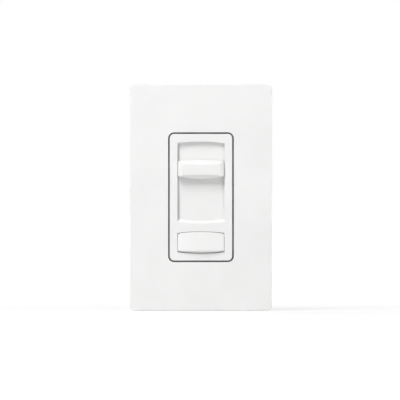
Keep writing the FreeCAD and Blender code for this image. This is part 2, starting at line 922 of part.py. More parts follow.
def bezel():
    """Insert: the slider's window over a recess with a sloped foot, and the paddle's opening."""
    body = new_body("bezel")
    sketch = new_sketch(body, "XZ", S.yoke_wall)
    rounded(sketch, BEZEL_W, BEZEL_TALL, S.opening_corner - S.reveal)
    pad(body, sketch, S.bezel_front - S.yoke_wall)
    rounding(body, rim(body.Shape, S.bezel_front), S.bezel_edge)

    sketch = new_sketch(body, "XZ", S.yoke_wall)
    rectangle(sketch, 2 * CAVITY_X, 2 * CAVITY_Z)
    pocket(body, sketch, BEZEL_INNER - S.yoke_wall, forwards=True)
    sketch = new_sketch(body, "XZ", FLOOR)
    span(sketch, -CAVITY_X, CAVITY_X, S.window_top - S.window_arch, CAVITY_Z)
    span(sketch, -CAVITY_X, CAVITY_X, BAR_LOW, S.window_low + S.window_arch)
    pad(body, sketch, BEZEL_INNER - FLOOR)

    window = new_sketch(body, "XZ", S.bezel_front)
    low = S.window_low - S.window_slope
    barrel(window, WINDOW_X, low, S.window_top, S.window_arch, S.window_arch)
    deep = new_sketch(body, "XZ", FLOOR)
    barrel(deep, WINDOW_X, S.window_low, S.window_top, S.window_arch, S.window_arch)
    lofted_cut(body, window, deep)

    sketch = new_sketch(body, "XZ", S.bezel_front)
    barrel(sketch, WINDOW_X, PADDLE_LOW, S.paddle_top, S.paddle_arch, S.paddle_arch)
    pocket(body, sketch, S.bezel_face)

    bearing_back = S.hinge_height - 2 * S.pin_r
    sketch = new_sketch(body, "XZ", bearing_back)
    for side in (1, -1):
        across = in_order(side * WINDOW_X, side * CAVITY_X)
        span(sketch, *across, HINGE_Z - S.bearing_w / 2, HINGE_Z + S.bearing_w / 2)
    pad(body, sketch, BEZEL_INNER - bearing_back)
    notch = S.pin_r + S.pin_gap
    sketch = new_sketch(body, "YZ")
    span(sketch, -S.hinge_height, -bearing_back, HINGE_Z - notch, HINGE_Z + notch)
    pocket(body, sketch, 2 * CAVITY_X, both_sides=True)
    sketch = new_sketch(body, "YZ")
    circle(sketch, notch, (-S.hinge_height, HINGE_Z))
    pocket(body, sketch, 2 * CAVITY_X, both_sides=True)

    catch = S.insulator_wall + S.snap_gap
    for end in (1, -1):
        arm = [
            (-BEZEL_INNER, end * HOOK_IN),
            (catch + S.barb_deep, end * HOOK_IN),
            (catch + S.barb_deep, end * (CAVITY_Z - S.bezel_wall / 3)),
            (catch, end * (CAVITY_Z + S.hook_barb)),
            (catch, end * CAVITY_Z),
            (-BEZEL_INNER, end * CAVITY_Z),
        ]
        for side in (1, -1):
            sketch = new_sketch(body, "YZ", side * S.hook_x)
            outline(sketch, arm)
            pad(body, sketch, S.hook_w, both_sides=True)

    # The skirt's foot is hollowed round the heads of the case screws
    hollow_r = S.case_head_r + S.case_head_room
    hollow_deep = S.case_head_tall + S.snap_gap
    hollows = []
    for side_name, side in (("right", 1), ("left", -1)):
        for end_name, end in (("upper", 1), ("lower", -1)):
            name = f"bezel_hollow_{side_name}_{end_name}"
            start = (side * POST_X, -S.yoke_wall - hollow_deep, end * S.post_z)
            hollows.append(rod(name, "Y", hollow_r, start, hollow_deep))
    return subpart(cut("bezel", body, *hollows), "bezel")


def track_plate():
    """Floor of the recess, on two feet that stand on the yoke. The slider clasps its long edges."""
    body = new_body("track_plate")
    sketch = new_sketch(body, "XZ", TRACK_BACK)
    span(sketch, -TRACK_X, TRACK_X, BAR_LOW, TRACK_TOP)
    pad(body, sketch, S.track_wall)
    sketch = new_sketch(body, "XZ", S.yoke_wall)
    span(sketch, -TRACK_X, TRACK_X, BAR_LOW, BAR_LOW + S.bar_wall)
    span(sketch, -TRACK_X, TRACK_X, TRACK_TOP - S.bar_wall, TRACK_TOP)
    pad(body, sketch, TRACK_BACK - S.yoke_wall)
    return subpart(body, "track_plate")


def slide_knob():
    """Bridge-shaped knob with sloped sides, wings under the window's lips and two clasping legs."""
    half = S.knob_tall / 2
    shoulder = KNOB_FRONT - S.knob_bevel
    sketch = free_sketch("knob_side", "YZ", (0, 0, S.knob_z))
    profile = [
        (-KNOB_BACK, -half),
        (-KNOB_BACK, half),
        (-shoulder, half),
        (-KNOB_FRONT, half - S.knob_top_slope),
        (-KNOB_FRONT, -half + S.knob_low_slope),
        (-shoulder, -half),
    ]
    outline(sketch, profile)
    side = extrude("knob_side", sketch, VEC(1, 0, 0), KNOB_X, KNOB_X)

    sketch = free_sketch("knob_face", "XZ", (0, -KNOB_BACK, S.knob_z))
    barrel(sketch, KNOB_X, -half, half, S.knob_low_arch, S.knob_top_arch)
    face = extrude("knob_face", sketch, VEC(0, -1, 0), KNOB_FRONT - KNOB_BACK)

    sketch = free_sketch("knob_crown", "XY", (0, 0, S.knob_z))
    crown_x = KNOB_X - S.knob_side_slope
    crown = [
        (KNOB_X, -KNOB_BACK),
        (-KNOB_X, -KNOB_BACK),
        (-KNOB_X, -shoulder),
        (-crown_x, -KNOB_FRONT + S.knob_crown),
        (crown_x, -KNOB_FRONT + S.knob_crown),
        (KNOB_X, -shoulder),
    ]
    outline(sketch, crown, {3: arc_radius(crown_x, S.knob_crown)})
    top = extrude("knob_crown", sketch, VEC(0, 0, 1), half, half)
    plain = common("knob_plain", side, face, top)

    def front_edge(point):
        return point.y < 1e-3 - shoulder.number

    shell = soften("knob_shell", plain, front_edge, S.knob_edge)
    inner_low = S.knob_z - half + S.knob_wall + S.knob_low_arch
    inner_top = S.knob_z + half - S.knob_wall - S.knob_top_arch
    hollow = block(
        "knob_hollow",
        (-KNOB_X + S.knob_wall, KNOB_X - S.knob_wall),
        heights(KNOB_BACK - S.knob_wall, shoulder),
        (inner_low, inner_top),
    )
    wing_z = (S.knob_z - S.wing_tall / 2, S.knob_z + S.wing_tall / 2)
    leg_z = (S.knob_z - S.leg_w / 2, S.knob_z + S.leg_w / 2)
    wing_front = KNOB_BACK + S.wing_wall
    hook_front = CARRIAGE_BACK - S.slide_gap / 3
    hook_back = hook_front - S.leg_hook_wall
    pieces = [cut("knob_hollowed", shell, hollow)]
    for name, sign in (("right", 1), ("left", -1)):
        wing = in_order(sign * (KNOB_X - S.knob_wall / 2), sign * (CAVITY_X - S.knob_gap))
        leg = in_order(sign * LEG_IN, sign * LEG_OUT)
        hook = in_order(sign * (LEG_IN - S.leg_hook), sign * LEG_OUT)
        pieces += [
            block(f"{name}_wing", wing, heights(KNOB_BACK, wing_front), wing_z),
            block(f"{name}_leg", leg, heights(hook_back, wing_front), leg_z),
            block(f"{name}_hook", hook, heights(hook_back, hook_front), leg_z),
        ]
    return subpart(fuse("slide_knob_whole", *pieces), "slide_knob")


def slide_carriage():
    """Bar behind the recess floor, between the knob's legs, with a fork for the lever."""
    bar = block(
        "carriage_bar",
        (-CARRIAGE_X, CARRIAGE_X),
        heights(CARRIAGE_BACK, CARRIAGE_FRONT),
        (S.knob_z - S.wing_tall / 2, S.knob_z + S.wing_tall / 2),
    )
    prongs = []
    for name, sign in (("upper", 1), ("lower", -1)):
        stretch = in_order(S.knob_z + sign * FORK_IN, S.knob_z + sign * FORK_OUT)
        across = (-S.fork_w / 2, S.fork_w / 2)
        deep = heights(-S.fork_end, CARRIAGE_FRONT)
        prongs.append(block(f"{name}_prong", across, deep, stretch))
    return subpart(fuse("carriage_whole", bar, *prongs), "slide_carriage")


def paddle():
    """Paddle on two hinge pins at its top. Its foot is turned about the hinge, so it swings free."""
    top = S.paddle_top - S.paddle_gap
    rear = S.hinge_height - S.pin_r - S.paddle_wall / 2
    far = 2 * S.bezel_front
    sketch = free_sketch("paddle_face", "XZ")
    corners = [
        (-PADDLE_X, 2 * PADDLE_LOW),
        (PADDLE_X, 2 * PADDLE_LOW),
        (PADDLE_X, top - S.paddle_arch),
        (-PADDLE_X, top - S.paddle_arch),
    ]
    outline(sketch, corners, {2: arc_radius(PADDLE_X, S.paddle_arch)})
    face = extrude("paddle_face", sketch, VEC(0, -1, 0), far)

    sketch = free_sketch("paddle_foot", "XZ", (0, -S.hinge_height, HINGE_Z))
    corners = [
        (-PADDLE_X, -SWING_R + S.paddle_arch),
        (PADDLE_X, -SWING_R + S.paddle_arch),
        (PADDLE_X, 0),
        (-PADDLE_X, 0),
    ]
    outline(sketch, corners, {0: arc_radius(PADDLE_X, S.paddle_arch)})
    swing = doc.addObject("Part::Revolution", "paddle_foot")
    swing.Source = sketch
    swing.Axis = VEC(1, 0, 0)
    swing.Angle = 360
    swing.Solid = True
    bind(swing, "Base.y", -S.hinge_height)
    bind(swing, "Base.z", HINGE_Z)

    tilt = (S.paddle_proud - S.paddle_flush) / S.paddle_tall
    sketch = free_sketch("paddle_crown", "XY", (0, 0, top))
    side_front = PADDLE_FRONT - S.paddle_crown
    crown = [
        (PADDLE_X, far),
        (-PADDLE_X, far),
        (-PADDLE_X, -side_front),
        (PADDLE_X, -side_front),
    ]
    outline(sketch, crown, {2: arc_radius(PADDLE_X, S.paddle_crown)})
    slab = extrude("paddle_crown", sketch, VEC(0, 0, -1), 2 * S.paddle_tall)
    bind(slab, "Dir.y", -tilt)
    depth = block(
        "paddle_depth",
        (-2 * PADDLE_X, 2 * PADDLE_X),
        heights(rear, far),
        (2 * PADDLE_LOW, top + S.paddle_gap),
    )
    whole = common("paddle_plain", face, swing, slab, depth)
    side_level = (S.bezel_front - S.paddle_crown).number

    def front_edge(point):
        return -point.y > side_level

    soft = soften("paddle_soft", whole, front_edge, S.paddle_edge)
    hollow_top = top - S.paddle_arch - S.paddle_wall
    hollow_low = HINGE_Z - SWING_R + S.paddle_arch + S.paddle_wall
    inner_front = side_front - S.paddle_wall + S.paddle_crown / 3
    sketch = free_sketch("paddle_hollow", "YZ")
    corners = [
        (0, hollow_low),
        (-inner_front - tilt * (top - hollow_low), hollow_low),
        (-inner_front - tilt * (top - hollow_top), hollow_top),
        (0, hollow_top),
    ]
    outline(sketch, corners)
    half = PADDLE_X - S.paddle_wall
    hollow = extrude("paddle_hollow", sketch, VEC(1, 0, 0), half, half)
    pieces = [cut("paddle_shell", soft, hollow)]
    for name, sign in (("right", 1), ("left", -1)):
        near, _ = in_order(sign * half, sign * (PADDLE_X + S.pin_l))
        start = (near, -S.hinge_height, HINGE_Z)
        pieces.append(rod(f"{name}_pin", "X", S.pin_r, start, S.pin_l + S.paddle_wall))
    pieces.append(
        block(
            "paddle_stop_flange",
            (-S.paddle_stop / 2, S.paddle_stop / 2),
            heights(S.hinge_height, BEZEL_INNER - S.snap_gap),
            (PADDLE_LOW - S.paddle_wall / 3, hollow_low),
        )
    )
    tip_y = S.pusher_end - S.pusher_r
    across = (-S.pusher_w / 2, S.pusher_w / 2)
    leg_z = (S.pusher_z - S.pusher_r, S.pusher_z + S.pusher_r)
    pieces.append(block("pusher_leg", across, (-side_front, tip_y), leg_z))
    pieces.append(rod("pusher_tip", "X", S.pusher_r, (across[0], tip_y, S.pusher_z), S.pusher_w))
    return subpart(fuse("paddle_whole", *pieces), "paddle")


# Yoke and what fastens it


def yoke():
    """Metal strap: ears with mounting slots, tapped holes and plaster ears, and a bent ground tab."""
    body = new_body("yoke")
    sketch = new_sketch(body, "XZ")
    rounded(sketch, YOKE_W, S.yoke_mid, S.yoke_corner)
    pad(body, sketch, S.yoke_wall)
    sketch = new_sketch(body, "XZ")
    rounded(sketch, S.ear_w, S.yoke_tall, 2 * S.yoke_corner)
    pad(body, sketch, S.yoke_wall)

    sketch = new_sketch(body, "XZ", S.yoke_wall)
    half_fork = S.fork_w / 2 + 2 * S.snap_gap
    fork_low = S.knob_z - KNOB_DOWN - FORK_OUT - 2 * S.snap_gap
    fork_high = S.knob_z + KNOB_UP + FORK_OUT + 2 * S.snap_gap
    span(sketch, -half_fork, half_fork, fork_low, fork_high)
    half_pusher = S.pusher_w / 2 + 2 * S.snap_gap
    pusher_low = S.pusher_z - S.pusher_r - S.snap_gap
    pusher_high = S.pusher_z + S.pusher_r + S.pusher_swing + S.snap_gap
    span(sketch, -half_pusher, half_pusher, pusher_low, pusher_high)
    circle(sketch, S.rivet_r + S.screw_gap, (S.triac_x, RIVET_Z))
    score_x = S.ear_w / 2 - S.score_w / 2
    hook_tall = S.hook_wall + S.hook_barb + S.snap_gap
    for end in (1, -1):
        circle(sketch, S.screw_r + S.screw_gap, (0, end * COVER_SCREW_Z))
        rounded(sketch, S.slot_w, S.slot_tall, S.slot_end_r, (0, end * BOX_SCREW_Z))
        for side in (1, -1):
            hook_at = (side * S.hook_x, end * HOOK_MID)
            rectangle(sketch, S.hook_w + 2 * S.snap_gap, hook_tall, hook_at)
            circle(sketch, S.case_screw_r + S.screw_gap, (side * POST_X, end * S.post_z))
            rectangle(sketch, S.score_w, S.score_tall, (side * score_x, end * S.score_z))
    window = (S.tab_x, S.tab_z - S.yoke_wall - S.tab_deep / 2)
    rectangle(sketch, S.tab_w + S.yoke_wall, S.tab_deep, window)
    pocket(body, sketch, S.yoke_wall)

    sketch = new_sketch(body, "XZ")
    rectangle(sketch, S.tab_w, S.yoke_wall, (S.tab_x, S.tab_z - S.yoke_wall / 2))
    pad(body, sketch, S.tab_deep, backwards=True)
    sketch = new_sketch(body, "XY", S.tab_z)
    circle(sketch, S.screw_r + S.screw_gap, (S.tab_x, S.tab_deep / 2))
    pocket(body, sketch, S.yoke_wall)
    return subpart(body, "yoke")


def mounting_screws():
    """Two screws to the wall box, with necks that the retainers hold in the ears' slots."""
    head = (S.round_head_r, S.round_head_tall)
    neck = (S.neck_r, S.yoke_wall)
    length = S.yoke_wall + S.box_screw_end
    pair = []
    for place, end in (("upper", 1), ("lower", -1)):
        seat = (0, -S.yoke_wall, end * BOX_SCREW_Z)
        name = f"mounting_screw_{place}"
        screw = turned_screw(name, S.screw_r, head, length, HEAD_TO_ROOM, seat, neck=neck)
        pair.append(screw)
    return subpart(gather("mounting_screws", *pair), "mounting_screws")


def screw_retainers():
    """Fibre fillers in the ears' slots, whose bores are narrower than the screws' threads."""
    pair = []
    gap = 2 * S.screw_gap
    for place, end in (("upper", 1), ("lower", -1)):
        body = new_body(f"retainer_{place}")
        middle = (0, end * BOX_SCREW_Z)
        sketch = new_sketch(body, "XZ", S.screw_gap)
        rounded(sketch, S.slot_w - gap, S.slot_tall - gap, S.slot_end_r - S.screw_gap, middle)
        circle(sketch, S.neck_r + S.screw_gap, middle)
        pad(body, sketch, S.yoke_wall - gap)
        pair.append(body)
    return subpart(gather("screw_retainers", *pair), "screw_retainers")


def ground_screw():
    """Green screw of the ground tab, with its head below."""
    head = (S.round_head_r, S.round_head_tall)
    seat = (S.tab_x, S.tab_deep / 2, S.tab_z - S.yoke_wall)
    body = turned_screw("ground_screw", S.screw_r, head, S.ground_screw_l, HEAD_DOWN, seat)
    return subpart(body, "ground_screw")


def case_screws():
    """Four screws from the yoke into the housing's corner posts."""
    head = (S.case_head_r, S.case_head_tall)
    length = S.yoke_wall + S.case_screw_end
    four = []
    for side_name, side in (("right", 1), ("left", -1)):
        for end_name, end in (("upper", 1), ("lower", -1)):
            name = f"case_screw_{side_name}_{end_name}"
            seat = (side * POST_X, -S.yoke_wall, end * S.post_z)
            four.append(turned_screw(name, S.case_screw_r, head, length, HEAD_TO_ROOM, seat))
    return subpart(gather("case_screws", *four), "case_screws")


def insulator_sheet():
    """Thin sheet between yoke and housing, with a window for each piece that passes."""
    body = new_body("insulator_sheet")
    room = 3 * S.snap_gap
    sketch = new_sketch(body, "XZ")
    rounded(sketch, S.case_w, S.case_tall, S.case_corner)
    half_fork = S.fork_w / 2 + room
    fork_low = S.knob_z - KNOB_DOWN - FORK_OUT - room
    fork_high = S.knob_z + KNOB_UP + FORK_OUT + room
    span(sketch, -half_fork, half_fork, fork_low, fork_high)
    triac_half = S.triac_w / 2 + S.triac_skin + S.snap_gap
    triac_low = S.triac_z - S.lead_drop - S.snap_gap
    triac_top = S.triac_z + S.heat_tab_tall + S.snap_gap
    span(sketch, S.triac_x - triac_half, S.triac_x + triac_half, triac_low, triac_top)
    half = S.plunger_head_r + S.snap_gap
    span(sketch, -half, half, S.plunger_z - half, S.plunger_z + half)
    hook_tall = S.hook_wall + S.hook_barb + 2 * S.snap_gap
    for end in (1, -1):
        for side in (1, -1):
            hook_at = (side * S.hook_x, end * HOOK_MID)
            rectangle(sketch, S.hook_w + room, hook_tall, hook_at)
            circle(sketch, S.case_screw_r + S.screw_gap, (side * POST_X, end * S.post_z))
    pad(body, sketch, S.insulator_wall, backwards=True)
    return subpart(body, "insulator_sheet")


# Housing and terminals


def housing():
    """Black drafted cup with posts for its screws and the board, a strip gauge behind, and terminal
    pockets that the wires reach through grooves from behind."""
    body = new_body("housing")
    mouth = -S.insulator_wall
    inner_deep = CASE_INNER_BACK - S.insulator_wall
    corners = [(side * POST_X, end * S.post_z) for side in (1, -1) for end in (1, -1)]
    sketch = new_sketch(body, "XZ", mouth)
    rounded(sketch, S.case_w, S.case_tall, S.case_corner)
    cup = pad(body, sketch, S.case_deep - S.insulator_wall, backwards=True)
    bind(cup, "TaperAngle", -S.case_draft)
    doc.recompute()
    rounding(body, rim(body.Shape, -S.case_deep), S.case_edge)
    sketch = new_sketch(body, "XZ", mouth)
    inner_w = S.case_w - 2 * S.case_wall
    inner_tall = S.case_tall - 2 * S.case_wall
    rounded(sketch, inner_w, inner_tall, S.case_corner / 2)
    pocket(body, sketch, inner_deep)

    sketch = new_sketch(body, "XZ", mouth)
    for corner in corners:
        circle(sketch, S.post_r, corner)
    pad(body, sketch, inner_deep, backwards=True)
    sketch = new_sketch(body, "XZ", -BOARD_BACK)
    for side in (1, -1):
        circle(sketch, S.board_post_r, (side * S.low_post_x, S.low_post_z))
        circle(sketch, S.board_post_r, (side * S.top_post_x, S.top_post_z))
    pad(body, sketch, CASE_INNER_BACK - BOARD_BACK, backwards=True)

    outer_front = S.pocket_front - S.pocket_wall
    outer_half = S.pocket_tall / 2 + S.pocket_wall
    block_deep = S.pocket_wall + S.pocket_deep - S.case_wall / 2
    through = S.pocket_deep + 2 * S.pocket_wall
    tab_hole = S.strap_tab + S.snap_gap
    for _, side, z in TERMINALS:
        sketch = new_sketch(body, "YZ", side * (POCKET_X - S.pocket_wall))
        span(sketch, outer_front, CASE_INNER_BACK, z - outer_half, z + outer_half)
        pad(body, sketch, block_deep, backwards=side < 0)
        sketch = new_sketch(body, "YZ", side * CASE_X)
        rectangle(sketch, S.pocket_back - S.pocket_front, S.pocket_tall, (POCKET_MID, z))
        pocket(body, sketch, S.pocket_deep, forwards=side < 0)
        sketch = new_sketch(body, "YZ", side * CASE_X)
        half_groove = S.wire_groove_w / 2
        span(sketch, S.pocket_back, S.case_deep, z - half_groove, z + half_groove)
        pocket(body, sketch, S.wire_groove_deep, forwards=side < 0)
        sketch = new_sketch(body, "YZ", side * CASE_X)
        circle(sketch, S.screw_r + 2 * S.screw_gap, (POCKET_MID, z))
        rectangle(sketch, tab_hole, tab_hole, (STRAP_TAB_Y, z))
        pocket(body, sketch, through, forwards=side < 0)

    sketch = new_sketch(body, "XZ", mouth)
    for corner in corners:
        circle(sketch, S.case_screw_r + S.screw_gap, corner)
    pocket(body, sketch, S.case_screw_end + S.snap_gap)

    sketch = new_sketch(body, "XZ", -S.case_deep)
    rectangle(sketch, S.gauge_l, S.gauge_w, (0, S.gauge_z))
    pocket(body, sketch, S.gauge_deep, forwards=True)
    return subpart(body, "housing")


def terminal_straps():
    """Brass plates on the pockets' floors, each with a tab that runs inside to the board."""
    made = []
    half = S.pocket_tall / 2 - S.snap_gap
    for name, side, z in TERMINALS:
        across = in_order(side * POCKET_X, side * STRAP_X)
        inside = in_order(side * (STRAP_INNER - S.strap_wall), side * STRAP_INNER)
        whole = in_order(side * (STRAP_INNER - S.strap_wall), side * STRAP_X)
        tab_z = (z - S.strap_tab / 2, z + S.strap_tab / 2)
        tab_low = STRAP_TAB_Y - S.strap_tab / 2
        tab_high = STRAP_TAB_Y + S.strap_tab / 2
        along = (S.pocket_front + S.snap_gap, S.pocket_back - S.snap_gap)
        plate = block(f"{name}_plate", across, along, (z - half, z + half))
        tab = block(f"{name}_tab", whole, (tab_low, tab_high), tab_z)
        leg = block(f"{name}_leg", inside, (BOARD_BACK, tab_high), tab_z)
        start = (across[0], POCKET_MID, z)
        hole = rod(f"{name}_hole", "X", S.screw_r + S.screw_gap, start, S.strap_wall)
        plain = fuse(f"{name}_strap", plate, tab, leg)
        made.append(cut(f"{name}_strap_drilled", plain, hole))
    return subpart(gather("straps", *made), "terminal_straps")


def terminal_screws():
    """Binding-head screws of the side terminals."""
    head = (S.wire_head_r, S.wire_head_tall)
    length = S.strap_wall + S.pocket_wall + S.screw_r
    made = []
    for name, side, z in TERMINALS:
        turn = HEAD_TO_RIGHT if side > 0 else HEAD_TO_LEFT
        seat = (side * STRAP_X, POCKET_MID, z)
        made.append(turned_screw(f"{name}_screw", S.screw_r, head, length, turn, seat))
    return subpart(gather("wire_screws", *made), "terminal_screws")


# Board, potentiometer and triac


def circuit_board():
    """Board that stands on the housing's posts, notched round the corner posts."""
    body = new_body("circuit_board")
    notch = BOARD_X - S.board_notch
    shoulder = S.board_top - S.board_notch
    sketch = new_sketch(body, "XZ", -BOARD_BACK)
    corners = [
        (-BOARD_X, S.board_low),
        (BOARD_X, S.board_low),
        (BOARD_X, shoulder),
        (notch, shoulder),
        (notch, S.board_top),
        (-notch, S.board_top),
        (-notch, shoulder),
        (-BOARD_X, shoulder),
    ]
    outline(sketch, corners)
    pad(body, sketch, S.board_wall)
    return subpart(body, "circuit_board")


def pot_frame():
    """Steel channel of the slide potentiometer, with a slot for its lever."""
    half = S.pot_w / 2
    inner = half - S.pot_sheet
    body = new_body("pot_frame")
    sketch = new_sketch(body, "XZ", -S.board_front)
    span(sketch, -half, half, POT_LOW, POT_TOP)
    pad(body, sketch, S.board_front - S.pot_front)
    sketch = new_sketch(body, "XZ", -S.board_front)
    span(sketch, -inner, inner, POT_LOW + S.pot_sheet, POT_TOP - S.pot_sheet)
    pocket(body, sketch, S.board_front - S.pot_front - S.pot_sheet, forwards=True)
    sketch = new_sketch(body, "XZ", -S.pot_front)
    slot = S.lever_w / 2 + S.pot_gap
    low = S.knob_z - KNOB_DOWN - S.lever_tall / 2 - S.pot_gap
    high = S.knob_z + KNOB_UP + S.lever_tall / 2 + S.pot_gap
    span(sketch, -slot, slot, low, high)
    pocket(body, sketch, S.pot_sheet)
    return subpart(body, "pot_frame")


def pot_element():
    """Resistive strip that closes the channel, on the board."""
    inner = S.pot_w / 2 - S.pot_sheet - S.screw_gap
    low = POT_LOW + S.pot_sheet + S.screw_gap
    high = POT_TOP - S.pot_sheet - S.screw_gap
    strip = block("pot_strip", (-inner, inner), (ELEMENT_FRONT, S.board_front), (low, high))
    return subpart(strip, "pot_element")


def pot_wiper():
    """Wiper block that slides in the channel, with the lever that the fork holds."""
    inner = S.pot_w / 2 - S.pot_sheet - S.pot_gap
    slider = block(
        "wiper_block",
        (-inner, inner),
        (S.pot_front + S.pot_sheet + S.pot_gap, ELEMENT_FRONT - S.pot_gap),
        (S.knob_z - S.lever_tall, S.knob_z + S.lever_tall),
    )
    lever = block(
        "wiper_lever",
        (-S.lever_w / 2, S.lever_w / 2),
        (-S.lever_end, S.pot_front + S.pot_sheet + 2 * S.pot_gap),
        (S.knob_z - S.lever_tall / 2, S.knob_z + S.lever_tall / 2),
    )
    return subpart(fuse("wiper_whole", slider, lever), "pot_wiper")


def triac_leadframe():
    """Metal tab flat on the yoke, which is its heat sink, and three leads to the board."""
    half = S.triac_w / 2
    across = (S.triac_x - half, S.triac_x + half)
    low = S.triac_z + S.triac_skin
    high = S.triac_z + S.heat_tab_tall
    plate = block("triac_plate", across, (ZERO, S.heat_tab), (low, high))
    start = (S.triac_x, 0, RIVET_Z)
    hole = rod("triac_hole", "Y", S.rivet_r + S.screw_gap, start, S.heat_tab)
    bottom = S.triac_z - S.lead_drop
    leads = []
    for place in (-1, 0, 1):
        x = S.triac_x + place * S.lead_pitch
        wide = (x - S.lead / 2, x + S.lead / 2)
        front = S.triac_deep - 2 * S.lead
        out = block(f"lead_out_{place + 2}", wide, (front, front + S.lead), (bottom, S.triac_z))
        reach = (front, S.board_front)
        down = block(f"lead_down_{place + 2}", wide, reach, (bottom, bottom + S.lead))
        leads.append(fuse(f"lead_{place + 2}", out, down))
    whole = gather("leadframe", cut("triac_drilled", plate, hole), *leads)
    return subpart(whole, "triac_leadframe")


def triac_body():
    """Moulded body of the triac, over the lower end of its tab."""
    half = S.triac_w / 2 + S.triac_skin
    across = (S.triac_x - half, S.triac_x + half)
    mould = block(
        "triac_mould",
        across,
        (S.triac_skin, S.triac_deep),
        (S.triac_z, S.triac_z + S.triac_tall),
    )
    tab_half = S.triac_w / 2
    room = block(
        "triac_room",
        (S.triac_x - tab_half, S.triac_x + tab_half),
        (ZERO, S.heat_tab),
        (S.triac_z + S.triac_skin, S.triac_z + 2 * S.triac_tall),
    )
    return subpart(cut("triac_moulded", mould, room), "triac_body")


def triac_rivet():
    """Rivet that clamps the tab to the yoke."""
    front_y = -S.yoke_wall - S.rivet_head
    front = rod("rivet_front", "Y", S.rivet_head_r, (S.triac_x, front_y, RIVET_Z), S.rivet_head)
    shank_start = (S.triac_x, -S.yoke_wall, RIVET_Z)
    shank = rod("rivet_shank", "Y", S.rivet_r, shank_start, S.yoke_wall + S.heat_tab)
    back_start = (S.triac_x, S.heat_tab, RIVET_Z)
    back = rod("rivet_back", "Y", S.rivet_head_r, back_start, S.rivet_head)
    return subpart(fuse("rivet_whole", front, shank, back), "triac_rivet")


# Filter and timing pieces, on the board's back


def choke_core():
    """Ferrite drum that stands on the board."""
    body = new_body("choke_core")
    sketch = new_sketch(body, "XZ")
    profile = [
        (0, 0),
        (S.choke_r, 0),
        (S.choke_r, S.choke_flange),
        (S.choke_core_r, S.choke_flange),
        (S.choke_core_r, S.choke_tall - S.choke_flange),
        (S.choke_r, S.choke_tall - S.choke_flange),
        (S.choke_r, S.choke_tall),
        (0, S.choke_tall),
    ]
    outline(sketch, profile)
    turned(body, sketch)
    body.Placement = FreeCAD.Placement(VEC(), FreeCAD.Rotation(VEC(1, 0, 0), -90))
    for letter, amount in zip("xyz", (S.choke_x, BOARD_BACK, S.choke_z)):
        bind(body, "Placement.Base." + letter, amount)
    return subpart(body, "choke_core")


def choke_winding():
    """Copper winding between the drum's flanges."""
    start = (S.choke_x, BOARD_BACK + S.choke_flange + S.screw_gap, S.choke_z)
    length = S.choke_tall - 2 * S.choke_flange - 2 * S.screw_gap
    coil = rod("winding_outer", "Y", S.winding_r, start, length)
    bore = rod("winding_bore", "Y", S.choke_core_r + S.screw_gap, start, length)
    return subpart(cut("winding", coil, bore), "choke_winding")


def boxed_capacitor(name, at, wide, wall, tall):
    """A boxed film capacitor on the board's back, with rounded upright edges."""
    x, z = at
    body = new_body(name)
    sketch = new_sketch(body, "XZ", -BOARD_BACK)
    rounded(sketch, wide, wall, S.film_edge, (x, z))
    pad(body, sketch, tall, backwards=True)
    return subpart(body, name)


def axial(name, x, radius, length):
    """A body on a wire along Z, whose bent ends stand on the board."""
    lift = BOARD_BACK + radius + S.wire_r
    half = S.axial_span / 2
    body_start = (x, lift, S.axial_z - length / 2)
    pieces = [rod(f"{name}_core", "Z", radius, body_start, length)]
    low = S.axial_z - half
    pieces.append(rod(f"{name}_wire", "Z", S.wire_r, (x, lift, low), S.axial_span))
    for end_name, end in (("low", -1), ("high", 1)):
        foot = (x, BOARD_BACK, S.axial_z + end * (half - S.wire_r))
        pieces.append(rod(f"{name}_{end_name}_leg", "Y", S.leg_r, foot, radius + S.wire_r))
    return fuse(name + "_whole", *pieces)


def resistors():
    pair = [
        axial(f"resistor_{i + 1}", RESISTOR_X + i * S.resistor_pitch, S.resistor_r, S.resistor_l)
        for i in range(2)
    ]
    return subpart(gather("resistor_pair", *pair), "resistors")


def diac():
    made = axial("diac", RESISTOR_X + 2 * S.resistor_pitch, S.diac_r, S.diac_l)
    return subpart(made, "diac")


# Switch


def switch_base():
    """Cup of the switch, on two rails, with bores for the cam's pin and slots for the blades."""
    half = S.switch_w / 2
    z = (S.switch_low, S.switch_top)
    wall = S.switch_wall
    cup = block("switch_cup", (-half, half), (COVER_BACK, S.switch_back), z)
    rails = []
    for name, sign in (("right", 1), ("left", -1)):
        across = in_order(sign * (half - wall), sign * half)
        rails.append(block(f"{name}_rail", across, (S.switch_back, CASE_INNER_BACK), z))
    room = block(
        "switch_room",
        (-half + wall, half - wall),
        (COVER_BACK, SWITCH_FLOOR),
        (S.switch_low + wall, S.switch_top - wall),
    )
    bore_start = (0, S.cam_y, S.switch_low + wall / 3)
    bore_long = S.switch_top - S.switch_low - 2 * wall / 3
    bore = rod("pin_bore", "Z", S.cam_pin_r + S.screw_gap, bore_start, bore_long)
    slots = []
    for i, x in enumerate(blade_places()):
        wide = S.blade_w / 2 + S.screw_gap
        slots.append(
            block(
                f"blade_slot_{i + 1}",
                (x - wide, x + wide),
                (SWITCH_FLOOR - S.blade - S.screw_gap, SWITCH_FLOOR),
                (S.switch_top - wall, S.switch_top),
            )
        )
    whole = fuse("switch_cup_whole", cup, *rails)
    return subpart(cut("switch_cup_cut", whole, room, bore, *slots), "switch_base")


def blade_places():
    """Where the three blades lie: a throw on each side, and the common one in the middle."""
    return (-S.contact_x, ZERO, S.contact_x)


def switch_cover():
    """Lid of the switch, with the plunger's guide hole."""
    half = S.switch_w / 2
    z = (S.switch_low, S.switch_top)
    lid = block("switch_lid", (-half, half), (S.switch_front, COVER_BACK), z)
    start = (0, S.switch_front, S.plunger_z)
    guide = rod("plunger_guide", "Y", STEM_R, start, S.switch_wall)
    return subpart(cut("switch_lid_cut", lid, guide), "switch_cover")


